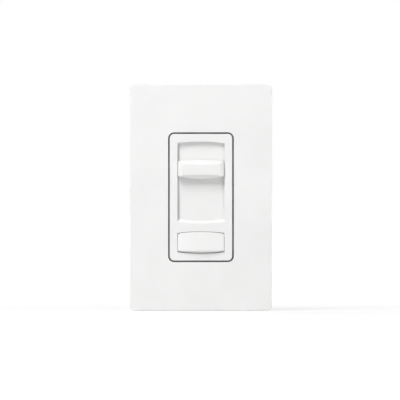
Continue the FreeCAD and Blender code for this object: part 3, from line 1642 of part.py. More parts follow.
def switch_plunger():
    """Plunger that the paddle pushes, with a head for the spring and a tapered tip."""
    front = S.pusher_end + S.plunger_play
    shoulder = S.plunger_end - S.plunger_r / 2
    head = rod("plunger_head", "Y", S.plunger_head_r, (0, front, S.plunger_z), S.plunger_head)
    stem = rod("plunger_stem", "Y", S.plunger_r, (0, front, S.plunger_z), shoulder - front)
    tip = rod(
        "plunger_tip",
        "Y",
        S.plunger_r,
        (0, shoulder, S.plunger_z),
        S.plunger_end - shoulder,
        end_radius=S.plunger_tip_r,
    )
    return subpart(fuse("plunger_whole", head, stem, tip), "switch_plunger")


def plunger_spring():
    """Coil between the plunger's head and the lid, in its rest length."""
    start = S.pusher_end + S.plunger_play + S.plunger_head + S.spring_wire_r
    long = S.switch_front - S.spring_wire_r - start
    helix = doc.addObject("Part::Helix", "spring_path")
    bind(helix, "Radius", S.spring_r)
    bind(helix, "Height", long)
    bind(helix, "Pitch", long / S.spring_turns)
    wire = doc.addObject("Part::Circle", "spring_section")
    wire.Placement = FreeCAD.Placement(VEC(), FreeCAD.Rotation(VEC(1, 0, 0), 90))
    bind(wire, "Radius", S.spring_wire_r)
    bind(wire, "Placement.Base.x", S.spring_r)
    coil = doc.addObject("Part::Sweep", "spring_coil")
    coil.Sections = [wire]
    coil.Spine = (helix, [])
    coil.Solid = True
    coil.Frenet = True
    coil.Placement = FreeCAD.Placement(VEC(), TURNS["Y"])
    bind(coil, "Placement.Base.y", start)
    bind(coil, "Placement.Base.z", S.plunger_z)
    return subpart(coil, "plunger_spring")


def on_pivot(thing):
    """Places what is modelled about the cam's pivot, tilted to where the cam rests."""
    thing.Placement = FreeCAD.Placement(VEC(), FreeCAD.Rotation(VEC(0, 0, 1), -1))
    bind(thing, "Placement.Rotation.Angle", -S.cam_tilt)
    bind(thing, "Placement.Base.y", S.cam_y)
    bind(thing, "Placement.Base.z", S.plunger_z)
    return thing


def toggle_cam():
    """Rocking cam: each push of the plunger lands in the notch that is up and tips it over."""
    sketch = free_sketch("cam_face", "XY")
    profile = [
        (-S.cam_half, S.cam_back),
        (-S.cam_half, -S.cam_notch + S.cam_pin_r),
        (-S.cam_shoulder, -S.cam_ridge),
        (-S.cam_dip, -S.cam_notch),
        (0, -S.cam_ridge),
        (S.cam_dip, -S.cam_notch),
        (S.cam_shoulder, -S.cam_ridge),
        (S.cam_half, -S.cam_notch + S.cam_pin_r),
        (S.cam_half, S.cam_back),
    ]
    outline(sketch, profile)
    plain = extrude("cam_plain", sketch, VEC(0, 0, 1), S.cam_w / 2, S.cam_w / 2)
    bore = rod("cam_bore", "Z", S.cam_pin_r + S.screw_gap, (0, 0, -S.cam_w / 2), S.cam_w)
    return subpart(on_pivot(cut("cam_drilled", plain, bore)), "toggle_cam")


def cam_pin():
    """Steel pin of the cam, between the cup's walls."""
    seat = S.switch_wall / 3 + S.screw_gap
    start = (0, S.cam_y, S.switch_low + seat)
    pin = rod("cam_axle", "Z", S.cam_pin_r, start, S.switch_top - S.switch_low - 2 * seat)
    return subpart(pin, "cam_pin")


def contact_arm():
    """Brass arm under the cam."""
    across = (-S.arm_half, S.arm_half)
    half = S.arm_w / 2
    strip = block("arm_strip", across, (S.cam_back, S.cam_back + S.blade), (-half, half))
    return subpart(on_pivot(gather("arm", strip)), "contact_arm")


def moving_contacts():
    """Silver contacts at the arm's ends."""
    back = S.cam_back + S.blade
    pair = []
    for name, sign in (("right", 1), ("left", -1)):
        start = (sign * S.contact_x, back, 0)
        cone = rod(f"{name}_moving", "Y", S.contact_r, start, S.contact_tall, S.contact_face_r)
        pair.append(cone)
    return subpart(on_pivot(gather("moving_pair", *pair)), "moving_contacts")


def fixed_contacts():
    """Silver contacts on the outer blades."""
    front = SWITCH_FLOOR - S.blade - S.fixed_contact_tall
    pair = []
    for name, sign in (("right", 1), ("left", -1)):
        start = (sign * (S.contact_x - S.contact_r / 3), front, S.plunger_z)
        pair.append(rod(f"{name}_fixed", "Y", S.contact_r, start, S.fixed_contact_tall))
    return subpart(gather("fixed_pair", *pair), "fixed_contacts")


def switch_blades():
    """Three brass blades on the cup's floor that leave through its top and rise to the board."""
    top = S.switch_top + 2 * S.blade_w / 3
    made = []
    for i, x in enumerate(blade_places()):
        wide = (x - S.blade_w / 2, x + S.blade_w / 2)
        floor = (SWITCH_FLOOR - S.blade, SWITCH_FLOOR)
        strip = block(f"blade_{i + 1}", wide, floor, (S.plunger_z - S.blade_w / 2, top))
        rise = block(f"rise_{i + 1}", wide, (BOARD_BACK, SWITCH_FLOOR), (top, top + S.blade))
        pieces = [strip, rise]
        if i == 1:
            post_front = S.cam_y + S.cam_back + 2 * S.blade
            post = (S.plunger_z - S.blade_w / 2, S.plunger_z + S.blade_w / 2)
            narrow = (-S.blade / 2, S.blade / 2)
            pieces.append(block("common_post", narrow, (post_front, SWITCH_FLOOR), post))
        made.append(fuse(f"blade_{i + 1}_whole", *pieces))
    return subpart(gather("blades", *made), "switch_blades")


cover_plate()
adapter_plate()
adapter_screws()
bezel()
track_plate()
slide_knob()
slide_carriage()
paddle()
yoke()
mounting_screws()
screw_retainers()
ground_screw()
case_screws()
insulator_sheet()
housing()
terminal_straps()
terminal_screws()
circuit_board()
pot_frame()
pot_element()
pot_wiper()
triac_leadframe()
triac_body()
triac_rivet()
choke_core()
choke_winding()
boxed_capacitor("filter_capacitor", (0, S.film_z), S.film_w, S.film_wall, S.film_tall)
boxed_capacitor(
    "timing_capacitor", (TIMING_X, S.timing_z), S.timing_w, S.timing_wall, S.timing_tall
)
resistors()
diac()
switch_base()
switch_cover()
switch_plunger()
plunger_spring()
toggle_cam()
cam_pin()
contact_arm()
moving_contacts()
fixed_contacts()
switch_blades()

doc.recompute()
for thing in doc.Objects:
    if "Invalid" in thing.State or "Error" in thing.State:
        raise RuntimeError(f"{thing.Name} failed: {thing.State}")
os.makedirs("parts", exist_ok=True)
for thing in subparts:
    if thing.Shape.isNull() or not thing.Shape.isValid() or not thing.Shape.Solids:
        raise RuntimeError(f"{thing.Label} has no sound solid")
    thing.Shape.exportStep(f"parts/{thing.Label}.step")
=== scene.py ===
"""Looks of the fan speed control: its plastics and metals, the threads and drives of its screws,
the choke's turns and the plunger's spring, in a plain light studio seen straight from in front."""

import json
import math

import bmesh
import bpy
from mathutils import Matrix, Vector


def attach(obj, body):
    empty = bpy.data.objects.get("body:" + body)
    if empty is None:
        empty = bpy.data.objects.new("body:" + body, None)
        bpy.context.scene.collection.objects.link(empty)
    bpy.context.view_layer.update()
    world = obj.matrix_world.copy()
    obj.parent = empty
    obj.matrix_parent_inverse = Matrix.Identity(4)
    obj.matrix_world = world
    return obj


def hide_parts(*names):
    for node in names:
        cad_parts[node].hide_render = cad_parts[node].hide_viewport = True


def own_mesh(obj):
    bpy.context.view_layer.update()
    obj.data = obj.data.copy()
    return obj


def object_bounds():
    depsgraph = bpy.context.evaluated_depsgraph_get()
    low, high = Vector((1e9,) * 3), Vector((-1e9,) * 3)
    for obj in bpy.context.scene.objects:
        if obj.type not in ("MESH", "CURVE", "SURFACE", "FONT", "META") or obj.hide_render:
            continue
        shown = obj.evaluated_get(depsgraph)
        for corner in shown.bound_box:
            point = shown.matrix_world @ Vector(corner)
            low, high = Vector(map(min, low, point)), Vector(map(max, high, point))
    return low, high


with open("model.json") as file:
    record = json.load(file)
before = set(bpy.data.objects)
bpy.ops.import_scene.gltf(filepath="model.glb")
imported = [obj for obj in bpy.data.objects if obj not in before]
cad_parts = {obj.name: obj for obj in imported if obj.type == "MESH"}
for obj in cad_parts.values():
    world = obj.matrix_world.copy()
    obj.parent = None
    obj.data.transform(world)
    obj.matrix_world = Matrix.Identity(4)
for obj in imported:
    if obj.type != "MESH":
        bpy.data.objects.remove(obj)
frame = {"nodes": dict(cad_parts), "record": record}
CAD_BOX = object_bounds()
MM = 0.001
TAU = 2 * math.pi

# Places and sizes of part.py that the pieces made here keep to, in millimetres

SCREW_GAP = 0.05
SNAP_GAP = 0.3
PLATE_FRONT = 7.6
PLATE_FACE = 1.8
YOKE_WALL = 1.5
COVER_SCREW_Z = 48.42
BOX_SCREW_Z = 41.67
GROUND_SCREW = (-11, 4, -38)
POST_X = 19.3
POST_Z = 30.7
CASE_X = 21.8
POCKET_DEEP = 5.0
POCKET_MID = 18.8
STRAP_WALL = 1.0
UPPER_TERMINAL = 20
LOWER_TERMINAL = 2
AXIAL_Z = -2.0
RESISTOR_LONG = 6.3
DIAC_LONG = 3.8
BOARD_BACK = 11.2
CHOKE_X = 5.0
CHOKE_Z = 3.0
CHOKE_TALL = 11.0
CHOKE_FLANGE = 1.6
WINDING_R = 6.1
PLUNGER_Z = -26.8
SPRING_R = 2.3
SPRING_WIRE_R = 0.25

# Radius, root radius and pitch of the two threads
NO_6_THREAD = (1.75, 1.35, 0.794)
CASE_THREAD = (1.3, 0.95, 1.05)

# Parts of a material's node tree

# The middle range of a noise, which spread() maps and where between() blends
NOISE_RANGE = (0.3, 0.7)
BLEND_RANGE = (0.32, 0.68)


def new_material(name):
    """A material with one plain shader, its node tree and that shader."""
    made = bpy.data.materials.new(name)
    made.use_nodes = True
    tree = made.node_tree
    tree.nodes.clear()
    shader = tree.nodes.new("ShaderNodeBsdfPrincipled")
    output = tree.nodes.new("ShaderNodeOutputMaterial")
    tree.links.new(shader.outputs["BSDF"], output.inputs["Surface"])
    return made, tree, shader


def object_place(tree, stretch=(1, 1, 1)):
    """Object coordinates, stretched, so that a grain can run along one axis."""
    place = tree.nodes.new("ShaderNodeTexCoord")
    mapping = tree.nodes.new("ShaderNodeMapping")
    mapping.inputs["Scale"].default_value = stretch
    tree.links.new(place.outputs["Object"], mapping.inputs["Vector"])
    return mapping.outputs["Vector"]


def noise(tree, place, scale, detail=3.0):
    made = tree.nodes.new("ShaderNodeTexNoise")
    made.inputs["Scale"].default_value = scale
    made.inputs["Detail"].default_value = detail
    tree.links.new(place, made.inputs["Vector"])
    return made.outputs["Fac"]


def combined(tree, operation, first, second=None):
    """A math node of one output, or of an output and either a second output or a number."""
    made = tree.nodes.new("ShaderNodeMath")
    made.operation = operation
    tree.links.new(first, made.inputs[0])
    if isinstance(second, float):
        made.inputs[1].default_value = second
    elif second is not None:
        tree.links.new(second, made.inputs[1])
    return made.outputs[0]


def ranged(tree, value, old, new=(0.0, 1.0), interpolation="LINEAR"):
    """Maps one range of a number to another."""
    made = tree.nodes.new("ShaderNodeMapRange")
    made.interpolation_type = interpolation
    made.inputs["From Min"].default_value = old[0]
    made.inputs["From Max"].default_value = old[1]
    made.inputs["To Min"].default_value = new[0]
    made.inputs["To Max"].default_value = new[1]
    tree.links.new(value, made.inputs["Value"])
    return made.outputs["Result"]


def spread(tree, value, low, high):
    """Maps a noise's middle range to a range of a number."""
    return ranged(tree, value, NOISE_RANGE, (low, high))


def between(tree, value, first, second, blend=BLEND_RANGE):
    """A colour that wanders between two colours."""
    ramp = tree.nodes.new("ShaderNodeValToRGB")
    for stop, position, colour in zip(ramp.color_ramp.elements, blend, (first, second)):
        stop.position = position
        stop.color = (*colour, 1)
    tree.links.new(value, ramp.inputs["Fac"])
    return ramp.outputs["Color"]


def bumped(tree, shader, heights, strength, distance):
    bump = tree.nodes.new("ShaderNodeBump")
    bump.inputs["Strength"].default_value = strength
    bump.inputs["Distance"].default_value = distance
    tree.links.new(heights, bump.inputs["Height"])
    tree.links.new(bump.outputs["Normal"], shader.inputs["Normal"])


def scaled(colour, factor):
    return tuple(min(1.0, part * factor) for part in colour)


def drifting(tree, value, colour, drift):
    """A colour that wanders by a share of itself to either side."""
    return between(tree, value, scaled(colour, 1 - drift), scaled(colour, 1 + drift))


# Painted shade of narrow joints, which darkens the colour where other surfaces lie near: how far
# it reaches, how high it lies from the middle, how steeply it fades, and its colour
JOINT_SHADE_REACH = 1.2 * MM
JOINT_SHADE_HALF_TALL = 45 * MM
JOINT_SHADE_FADE = 9.0
JOINT_SHADE_TONE = (0.02, 0.02, 0.02, 1)


def painted_joint_shade(tree, place, tone):
    """Darkens a tone by painted shade in narrow joints, up to a height from the middle."""
    near = tree.nodes.new("ShaderNodeAmbientOcclusion")
    near.samples = 8
    near.inputs["Distance"].default_value = JOINT_SHADE_REACH
    open_share = combined(tree, "POWER", near.outputs["AO"], JOINT_SHADE_FADE)
    parts = tree.nodes.new("ShaderNodeSeparateXYZ")
    tree.links.new(place, parts.inputs["Vector"])
    height = combined(tree, "ABSOLUTE", parts.outputs["Z"])
    beyond = combined(tree, "GREATER_THAN", height, JOINT_SHADE_HALF_TALL)
    unshaded = combined(tree, "MAXIMUM", open_share, beyond)
    mix = tree.nodes.new("ShaderNodeMix")
    mix.data_type = "RGBA"
    # The dark colour of the painted joint shade
    mix.inputs["A"].default_value = JOINT_SHADE_TONE
    tree.links.new(unshaded, mix.inputs["Factor"])
    tree.links.new(tone, mix.inputs["B"])
    return mix.outputs["Result"]


# Materials


def plastic(name, colour, rough, grain, depth, drift, joint_shaded):
    """Moulded plastic: a fine spark-eroded grain, a slow drift of tone and an uneven sheen."""
    made, tree, shader = new_material(name)
    place = object_place(tree)
    slow = noise(tree, place, 45.0)
    fine = noise(tree, place, grain, 2.0)
    tone = drifting(tree, slow, colour, drift)
    # Painted shade: the colour darkens in narrow joints, where the plastic is asked for it
    if joint_shaded:
        tone = painted_joint_shade(tree, place, tone)
    tree.links.new(tone, shader.inputs["Base Color"])
    gloss = spread(tree, slow, rough - 0.03, rough + 0.04)
    tree.links.new(gloss, shader.inputs["Roughness"])
    shader.inputs["IOR"].default_value = 1.5
    bumped(tree, shader, fine, depth, 0.04 * MM)
    return made


def metal(name, colour, rough, stretch, grain, drift):
    """Bare or plated metal with a grain, which a stretch turns into rolling or turning marks."""
    made, tree, shader = new_material(name)
    place = object_place(tree, stretch)
    streaks = noise(tree, place, grain, 4.0)
    stains = noise(tree, object_place(tree), 120.0)
    tone = drifting(tree, stains, colour, drift)
    tree.links.new(tone, shader.inputs["Base Color"])
    gloss = spread(tree, streaks, rough - 0.06, rough + 0.08)
    tree.links.new(gloss, shader.inputs["Roughness"])
    shader.inputs["Metallic"].default_value = 1.0
    bumped(tree, shader, streaks, 0.15, 0.03 * MM)
    return made


def banded(name, base, bands, length):
    """Lacquer on an axial piece along Z, with painted rings."""
    made, tree, shader = new_material(name)
    place = object_place(tree)
    parts = tree.nodes.new("ShaderNodeSeparateXYZ")
    tree.links.new(place, parts.inputs["Vector"])
    low = (AXIAL_Z - length / 2) * MM
    along = ranged(tree, parts.outputs["Z"], (low, low + length * MM))
    ramp = tree.nodes.new("ShaderNodeValToRGB")
    ramp.color_ramp.interpolation = "CONSTANT"
    ramp.color_ramp.elements[1].position = 0.999
    ramp.color_ramp.elements[0].color = (*base, 1)
    ramp.color_ramp.elements[1].color = (*base, 1)
    for share, wide, colour in bands:
        ramp.color_ramp.elements.new(share).color = (*colour, 1)
        ramp.color_ramp.elements.new(share + wide).color = (*base, 1)
    tree.links.new(along, ramp.inputs["Fac"])
    tree.links.new(ramp.outputs["Color"], shader.inputs["Base Color"])
    fine = noise(tree, place, 1500.0, 2.0)
    tree.links.new(spread(tree, fine, 0.25, 0.4), shader.inputs["Roughness"])
    bumped(tree, shader, fine, 0.1, 0.03 * MM)
    return made


def solder_mask(name, plain, over_copper):
    """Green lacquer over a pattern of copper tracks, which shows as raised lighter lines."""
    made, tree, shader = new_material(name)
    place = object_place(tree)
    cells = tree.nodes.new("ShaderNodeTexVoronoi")
    cells.feature = "DISTANCE_TO_EDGE"
    cells.inputs["Scale"].default_value = 190.0
    tree.links.new(place, cells.inputs["Vector"])
    tracks = ranged(tree, cells.outputs["Distance"], (0.10, 0.13))
    tone = between(tree, tracks, plain, over_copper, (0.0, 1.0))
    tree.links.new(tone, shader.inputs["Base Color"])
    weave = noise(tree, place, 1400.0)
    tree.links.new(spread(tree, weave, 0.28, 0.42), shader.inputs["Roughness"])
    bumped(tree, shader, tracks, 0.4, 0.04 * MM)
    return made


WHITE = (0.905, 0.905, 0.9)
# Plastics whose colour gets painted shade in narrow joints
JOINT_SHADED = ("white_plate",)
# Colour, roughness, scale of the grain, strength of the grain, drift of the tone
PLASTICS = {
    "white_plate": (WHITE, 0.42, 2200.0, 0.2, 0.015),
    "white_insert": (WHITE, 0.31, 1500.0, 0.06, 0.015),
    "white_paddle": (scaled(WHITE, 0.968), 0.34, 1500.0, 0.08, 0.015),
    "adapter_grey": ((0.80, 0.80, 0.79), 0.5, 2600.0, 0.12, 0.015),
    "inner_white": ((0.88, 0.88, 0.875), 0.45, 2600.0, 0.12, 0.015),
    "black_case": ((0.028, 0.028, 0.03), 0.44, 1900.0, 0.25, 0.1),
    "black_epoxy": ((0.03, 0.03, 0.033), 0.55, 1500.0, 0.3, 0.1),
    "fibre": ((0.30, 0.15, 0.075), 0.7, 900.0, 0.4, 0.15),
    "film_sheet": ((0.80, 0.77, 0.66), 0.5, 600.0, 0.2, 0.05),
    "phenolic": ((0.22, 0.10, 0.045), 0.4, 800.0, 0.2, 0.12),
    "ferrite": ((0.075, 0.075, 0.08), 0.5, 1200.0, 0.5, 0.2),
    "film_yellow": ((0.80, 0.55, 0.05), 0.3, 1500.0, 0.1, 0.04),
    "film_blue": ((0.04, 0.12, 0.42), 0.3, 1500.0, 0.1, 0.05),
    "nylon": ((0.86, 0.84, 0.77), 0.4, 1200.0, 0.1, 0.03),
}
# Colour, roughness, stretch of the grain, scale of the grain, drift of the tone
METALS = {
    "yoke_metal": ((0.30, 0.305, 0.31), 0.5, (1, 1, 0.06), 1500.0, 0.08),
    "zinc": ((0.72, 0.73, 0.74), 0.3, (1, 1, 1), 900.0, 0.1),
    "steel": ((0.66, 0.67, 0.68), 0.28, (0.08, 1, 1), 1300.0, 0.08),
    "brass": ((0.78, 0.58, 0.25), 0.27, (1, 0.1, 1), 1300.0, 0.1),
    "copper": ((0.60, 0.26, 0.12), 0.3, (1, 1, 1), 900.0, 0.12),
    "silver": ((0.86, 0.85, 0.82), 0.25, (1, 1, 1), 900.0, 0.08),
    "ground_green": ((0.10, 0.42, 0.20), 0.32, (1, 1, 1), 900.0, 0.15),
}
# Where each ring starts and how wide it is, as shares of the length, and its colour
RESISTOR_RINGS = [
    (0.16, 0.09, (0.35, 0.13, 0.04)),
    (0.34, 0.07, (0.02, 0.02, 0.02)),
    (0.49, 0.07, (0.75, 0.55, 0.05)),
    (0.76, 0.07, (0.65, 0.45, 0.12)),
]
DIAC_RINGS = [(0.1, 0.2, (0.03, 0.03, 0.03))]

MATERIALS = {
    "board_green": solder_mask("board_green", (0.045, 0.17, 0.08), (0.09, 0.30, 0.13)),
    "resistor_tan": banded(
        "resistor_tan", (0.70, 0.50, 0.30), RESISTOR_RINGS, RESISTOR_LONG
    ),
    "glass_red": banded("glass_red", (0.55, 0.16, 0.06), DIAC_RINGS, DIAC_LONG),
}
for name, finish in PLASTICS.items():
    MATERIALS[name] = plastic(name, *finish, joint_shaded=name in JOINT_SHADED)
for name, finish in METALS.items():
    MATERIALS[name] = metal(name, *finish)
SLOT_OF = {part["node"]: part["material_slot"] for part in frame["record"]["subparts"]}


def dress(thing, finish):
    """Gives an object one of the materials as its only one."""
    thing.data.materials.clear()
    thing.data.materials.append(MATERIALS[finish])


for node, thing in frame["nodes"].items():
    dress(thing, SLOT_OF[node])
# The paddle is a shade darker than the insert round it
dress(frame["nodes"]["paddle"], "white_paddle")


# Mesh helpers


def mesh_object(name, work, smooth_angle=35.0):
    """An object from a bmesh, smooth except at sharp edges."""
    data = bpy.data.meshes.new(name)
    bmesh.ops.recalc_face_normals(work, faces=work.faces)
    limit = math.radians(smooth_angle)
    for edge in work.edges:
        edge.smooth = len(edge.link_faces) != 2 or edge.calc_face_angle(0) < limit
    for face in work.faces:
        face.smooth = True
    work.to_mesh(data)
    work.free()
    made = bpy.data.objects.new(name, data)
    bpy.context.scene.collection.objects.link(made)
    return made


def join_rings(work, low, high):
    """Faces between two rings of as many points."""
    for i in range(len(low)):
        j = (i + 1) % len(low)
        work.faces.new((low[i], low[j], high[j], high[i]))


def lathe(work, profile, around=40):
    """Turns a profile of (radius, height) about Z. Its first and last points lie on the axis."""
    rings = []
    for radius, height in profile[1:-1]:
        ring = [
            work.verts.new((radius * math.cos(turn), radius * math.sin(turn), height))
            for turn in (TAU * i / around for i in range(around))
        ]
        rings.append(ring)
    first = work.verts.new((0, 0, profile[0][1]))
    last = work.verts.new((0, 0, profile[-1][1]))
    for i in range(around):
        j = (i + 1) % around
        work.faces.new((first, rings[0][j], rings[0][i]))
        work.faces.new((last, rings[-1][i], rings[-1][j]))
    for low, high in zip(rings, rings[1:]):
        join_rings(work, low, high)


def threaded_shank(work, radius, root, length, pitch, around=28, steps=8):
    """A shank below Z = 0 with a rounded V thread and a blunt point."""
    count = round(length / pitch * steps)
    point = 1.4 * radius
    rings = []
    for k in range(count + 1):
        height = -length * k / count
        left = length + height
        taper = min(1.0, 0.55 + 0.45 * left / point)
        start = min(1.0, k / steps)
        ring = []
        for i in range(around):
            turn = i / around
            phase = (height / pitch + turn) % 1.0
            ridge = min(1.0, max(0.0, 1.25 * (1 - abs(2 * phase - 1)) - 0.12))
            reach = (root + (radius - root) * ridge * start) * taper
            x = reach * math.cos(TAU * turn)
            y = reach * math.sin(TAU * turn)
            ring.append(work.verts.new((x, y, height)))
        rings.append(ring)
    for high, low in zip(rings, rings[1:]):
        join_rings(work, low, high)
    work.faces.new(rings[-1])
    work.faces.new(list(reversed(rings[0])))


def cut_with(target, tool):
    """Subtracts one object from another and removes the tool."""
    modifier = target.modifiers.new("recess", "BOOLEAN")
    modifier.operation = "DIFFERENCE"
    modifier.solver = "EXACT"
    modifier.object = tool
    bpy.context.view_layer.update()
    seen = bpy.context.evaluated_depsgraph_get()
    data = bpy.data.meshes.new_from_object(target.evaluated_get(seen))
    target.modifiers.clear()
    target.data = data
    bpy.data.objects.remove(tool)


def bars(name, corners):
    """Boxes given by their low and high corners in millimetres, as one object."""
    work = bmesh.new()
    for ends in corners:
        low, high = (Vector(tuple(MM * n for n in end)) for end in ends)
        made = bmesh.ops.create_cube(work, size=1.0)["verts"]
        bmesh.ops.scale(work, verts=made, vec=high - low)
        bmesh.ops.translate(work, verts=made, vec=(high + low) / 2)
    return mesh_object(name, work)


# Screws. Sizes are in millimetres, and a head stands on Z = 0 with its shank below.


def slot_bars(half_long, half_wide, deep, top):
    """What a straight slot in a head's top takes away, as bars() takes it."""
    return [((-half_long, -half_wide, top - deep), (half_long, half_wide, top + deep))]


def cross_bars(half_long, half_wide, deep, top):
    """What a cross recess takes away."""
    across = slot_bars(half_long, half_wide, deep, top)
    upright = [((-half_wide, -half_long, top - deep), (half_wide, half_long, top + deep))]
    return across + upright


def head_object(name, profile, recesses):
    """A turned head with the recesses of its drive."""
    work = bmesh.new()
    lathe(work, [(r * MM, z * MM) for r, z in profile])
    head = mesh_object(name, work)
    for i, corners in enumerate(recesses):
        cut_with(head, bars(f"{name}_recess_{i}", corners))
    return head


def dome(radius, tall, side, lip=0.12, steps=8):
    """Profile of a domed head with a straight side and a bevelled lip."""
    rise = tall - side
    bend = (radius * radius + rise * rise) / (2 * rise)
    points = [(0, 0), (radius - lip, 0), (radius, lip), (radius, side)]
    low = math.asin(radius / bend)
    for k in range(1, steps):
        turn = low * (1 - k / steps)
        points.append((bend * math.sin(turn), tall - bend * (1 - math.cos(turn))))
    points.append((0, tall))
    return points


def screw_set(name, node, body, slot, head, places, thread, length, neck=None):
    """One object that stands for a node's like screws. places are pairs of a seat and a turn.

    neck is the radius and length of a plain part between the head and the thread.
    """
    radius, root, pitch = (MM * n for n in thread)
    work = bmesh.new()
    threaded_shank(work, radius, root, MM * length, pitch)
    if neck is not None:
        neck_r, neck_long = (MM * n for n in neck)
        bmesh.ops.translate(work, verts=work.verts, vec=(0, 0, -neck_long))
        lathe(work, [(0, 0), (neck_r, 0), (neck_r, -neck_long), (0, -neck_long)])
    shank = mesh_object(name + "_thread", work)
    whole = bmesh.new()
    for seat, turn in places:
        matrix = Matrix.Translation(Vector(seat) * MM) @ turn.to_4x4()
        for source in (head, shank):
            part = bmesh.new()
            part.from_mesh(source.data)
            part.transform(matrix)
            copy = bpy.data.meshes.new("copy")
            part.to_mesh(copy)
            part.free()
            whole.from_mesh(copy)
            bpy.data.meshes.remove(copy)
    bpy.data.objects.remove(shank)
    bpy.data.objects.remove(head)
    made = mesh_object(name, whole)
    dress(made, slot)
    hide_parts(node)
    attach(made, body)


TO_ROOM = Matrix.Rotation(math.radians(90), 3, "X")
TO_RIGHT = Matrix.Rotation(math.radians(90), 3, "Y")
TO_LEFT = Matrix.Rotation(math.radians(-90), 3, "Y")
DOWN = Matrix.Rotation(math.radians(180), 3, "X")


def turned_by(turn, degrees):
    """Turns a screw about its own axis, so that no two slots line up by chance."""
    return turn @ Matrix.Rotation(math.radians(degrees), 3, "Z")


FLAT_TALL = 1.05
FLAT_SUNK = 0.02
FLAT_R = 2.8
FLAT_SEAT = PLATE_FRONT - PLATE_FACE - SNAP_GAP - FLAT_TALL - SCREW_GAP
flat_head = head_object(
    "flat_head",
    [
        (0, -FLAT_SUNK),
        (NO_6_THREAD[0], -FLAT_SUNK),
        (FLAT_R, FLAT_TALL - FLAT_SUNK),
        (FLAT_R, FLAT_TALL),
        (0, FLAT_TALL),
    ],
    [slot_bars(4, 0.32, 0.55, FLAT_TALL)],
)
screw_set(
    "adapter_screws_slotted",
    "adapter_screws",
    "device",
    "zinc",
    flat_head,
    [
        ((0, -FLAT_SEAT, COVER_SCREW_Z), turned_by(TO_ROOM, 20)),
        ((0, -FLAT_SEAT, -COVER_SCREW_Z), turned_by(TO_ROOM, 75)),
    ],
    NO_6_THREAD,
    FLAT_SEAT + 4.5,
)

ROUND_TALL = 2.0
ROUND_HEAD = dome(3.4, ROUND_TALL, 0.8)
pan_head = head_object(
    "pan_head",
    ROUND_HEAD,
    [cross_bars(1.75, 0.33, 1.15, ROUND_TALL), slot_bars(4, 0.3, 0.7, ROUND_TALL)],
)
screw_set(
    "mounting_screws_threaded",
    "mounting_screws",
    "device",
    "zinc",
    pan_head,
    [
        ((0, -YOKE_WALL, BOX_SCREW_Z), turned_by(TO_ROOM, 35)),
        ((0, -YOKE_WALL, -BOX_SCREW_Z), turned_by(TO_ROOM, -12)),
    ],
    NO_6_THREAD,
    24.0,
    neck=(1.4, YOKE_WALL),
)

green_head = head_object("green_head", ROUND_HEAD, [slot_bars(4, 0.42, 0.85, ROUND_TALL)])
screw_set(
    "ground_screw_threaded",
    "ground_screw",
    "device",
    "ground_green",
    green_head,
    [(GROUND_SCREW, turned_by(DOWN, 25))],
    NO_6_THREAD,
    2.9,
)

CASE_HEAD_TALL = 1.2
case_head = head_object(
    "case_head",
    dome(2.1, CASE_HEAD_TALL, 0.48),
    [cross_bars(1.15, 0.24, 0.75, CASE_HEAD_TALL)],
)
screw_set(
    "case_screws_threaded",
    "case_screws",
    "device",
    "zinc",
    case_head,
    [
        ((POST_X, -YOKE_WALL, POST_Z), turned_by(TO_ROOM, 10)),
        ((-POST_X, -YOKE_WALL, POST_Z), turned_by(TO_ROOM, 52)),
        ((POST_X, -YOKE_WALL, -POST_Z), turned_by(TO_ROOM, 33)),
        ((-POST_X, -YOKE_WALL, -POST_Z), turned_by(TO_ROOM, 80)),
    ],
    CASE_THREAD,
    12.5,
)

WIRE_HEAD_TALL = 1.9
STRAP_X = CASE_X - POCKET_DEEP + STRAP_WALL
binding_head = head_object(
    "binding_head",
    dome(3.9, WIRE_HEAD_TALL, 0.76),
    [cross_bars(1.9, 0.36, 1.1, WIRE_HEAD_TALL), slot_bars(5, 0.36, 0.75, WIRE_HEAD_TALL)],
)
screw_set(
    "terminal_screws_slotted",
    "terminal_screws",
    "device",
    "brass",
    binding_head,
    [
        ((STRAP_X, POCKET_MID, UPPER_TERMINAL), turned_by(TO_RIGHT, 15)),
        ((STRAP_X, POCKET_MID, LOWER_TERMINAL), turned_by(TO_RIGHT, 68)),
        ((-STRAP_X, POCKET_MID, UPPER_TERMINAL), turned_by(TO_LEFT, -28)),
    ],
    NO_6_THREAD,
    4.15,
)


# Spring of the plunger and winding of the choke


def tube_along(work, points, radius, around=10):
    """A closed tube along points, with flat ends."""
    rings = []
    up = Vector((0, 1, 0))
    for k, point in enumerate(points):
        before = points[max(k - 1, 0)]
        after = points[min(k + 1, len(points) - 1)]
        along = (after - before).normalized()
        side = along.cross(up).normalized()
        over = side.cross(along)
        ring = []
        for i in range(around):
            turn = TAU * i / around
            off = side * (radius * math.cos(turn)) + over * (radius * math.sin(turn))
            ring.append(work.verts.new(point + off))
        rings.append(ring)
    for low, high in zip(rings, rings[1:]):
        join_rings(work, low, high)
    work.faces.new(rings[0])
    work.faces.new(list(reversed(rings[-1])))


def helix(centre, radius, start, heights, per_turn=28):
    """Points about an axis along Y, through centre. heights gives Y for each number of turns."""
    count = round(heights[-1][0] * per_turn)
    points = []
    for k in range(count + 1):
        turns = k / per_turn
        for (t0, y0), (t1, y1) in zip(heights, heights[1:]):
            if turns <= t1 + 1e-9:
                y = y0 + (y1 - y0) * (turns - t0) / (t1 - t0)
                break
        turn = start + TAU * turns
        x = centre[0] + radius * math.cos(turn)
        z = centre[1] + radius * math.sin(turn)
        points.append(Vector((x * MM, y * MM, z * MM)))
    return points


# Pairs of a number of turns and Y. The end turns are closed, and the middle ones wide apart.
SPRING_HEIGHTS = [(0, 2.4), (0.6, 2.55), (3.4, 6.55), (4.0, 6.7)]
spring_work = bmesh.new()
tube_along(
    spring_work,
    helix((0, PLUNGER_Z), SPRING_R, 0.4, SPRING_HEIGHTS),
    SPRING_WIRE_R * MM,
    8,
)
spring = mesh_object("plunger_spring_coil", spring_work, 60.0)
dress(spring, "steel")
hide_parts("plunger_spring")
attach(spring, "device")
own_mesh(spring)

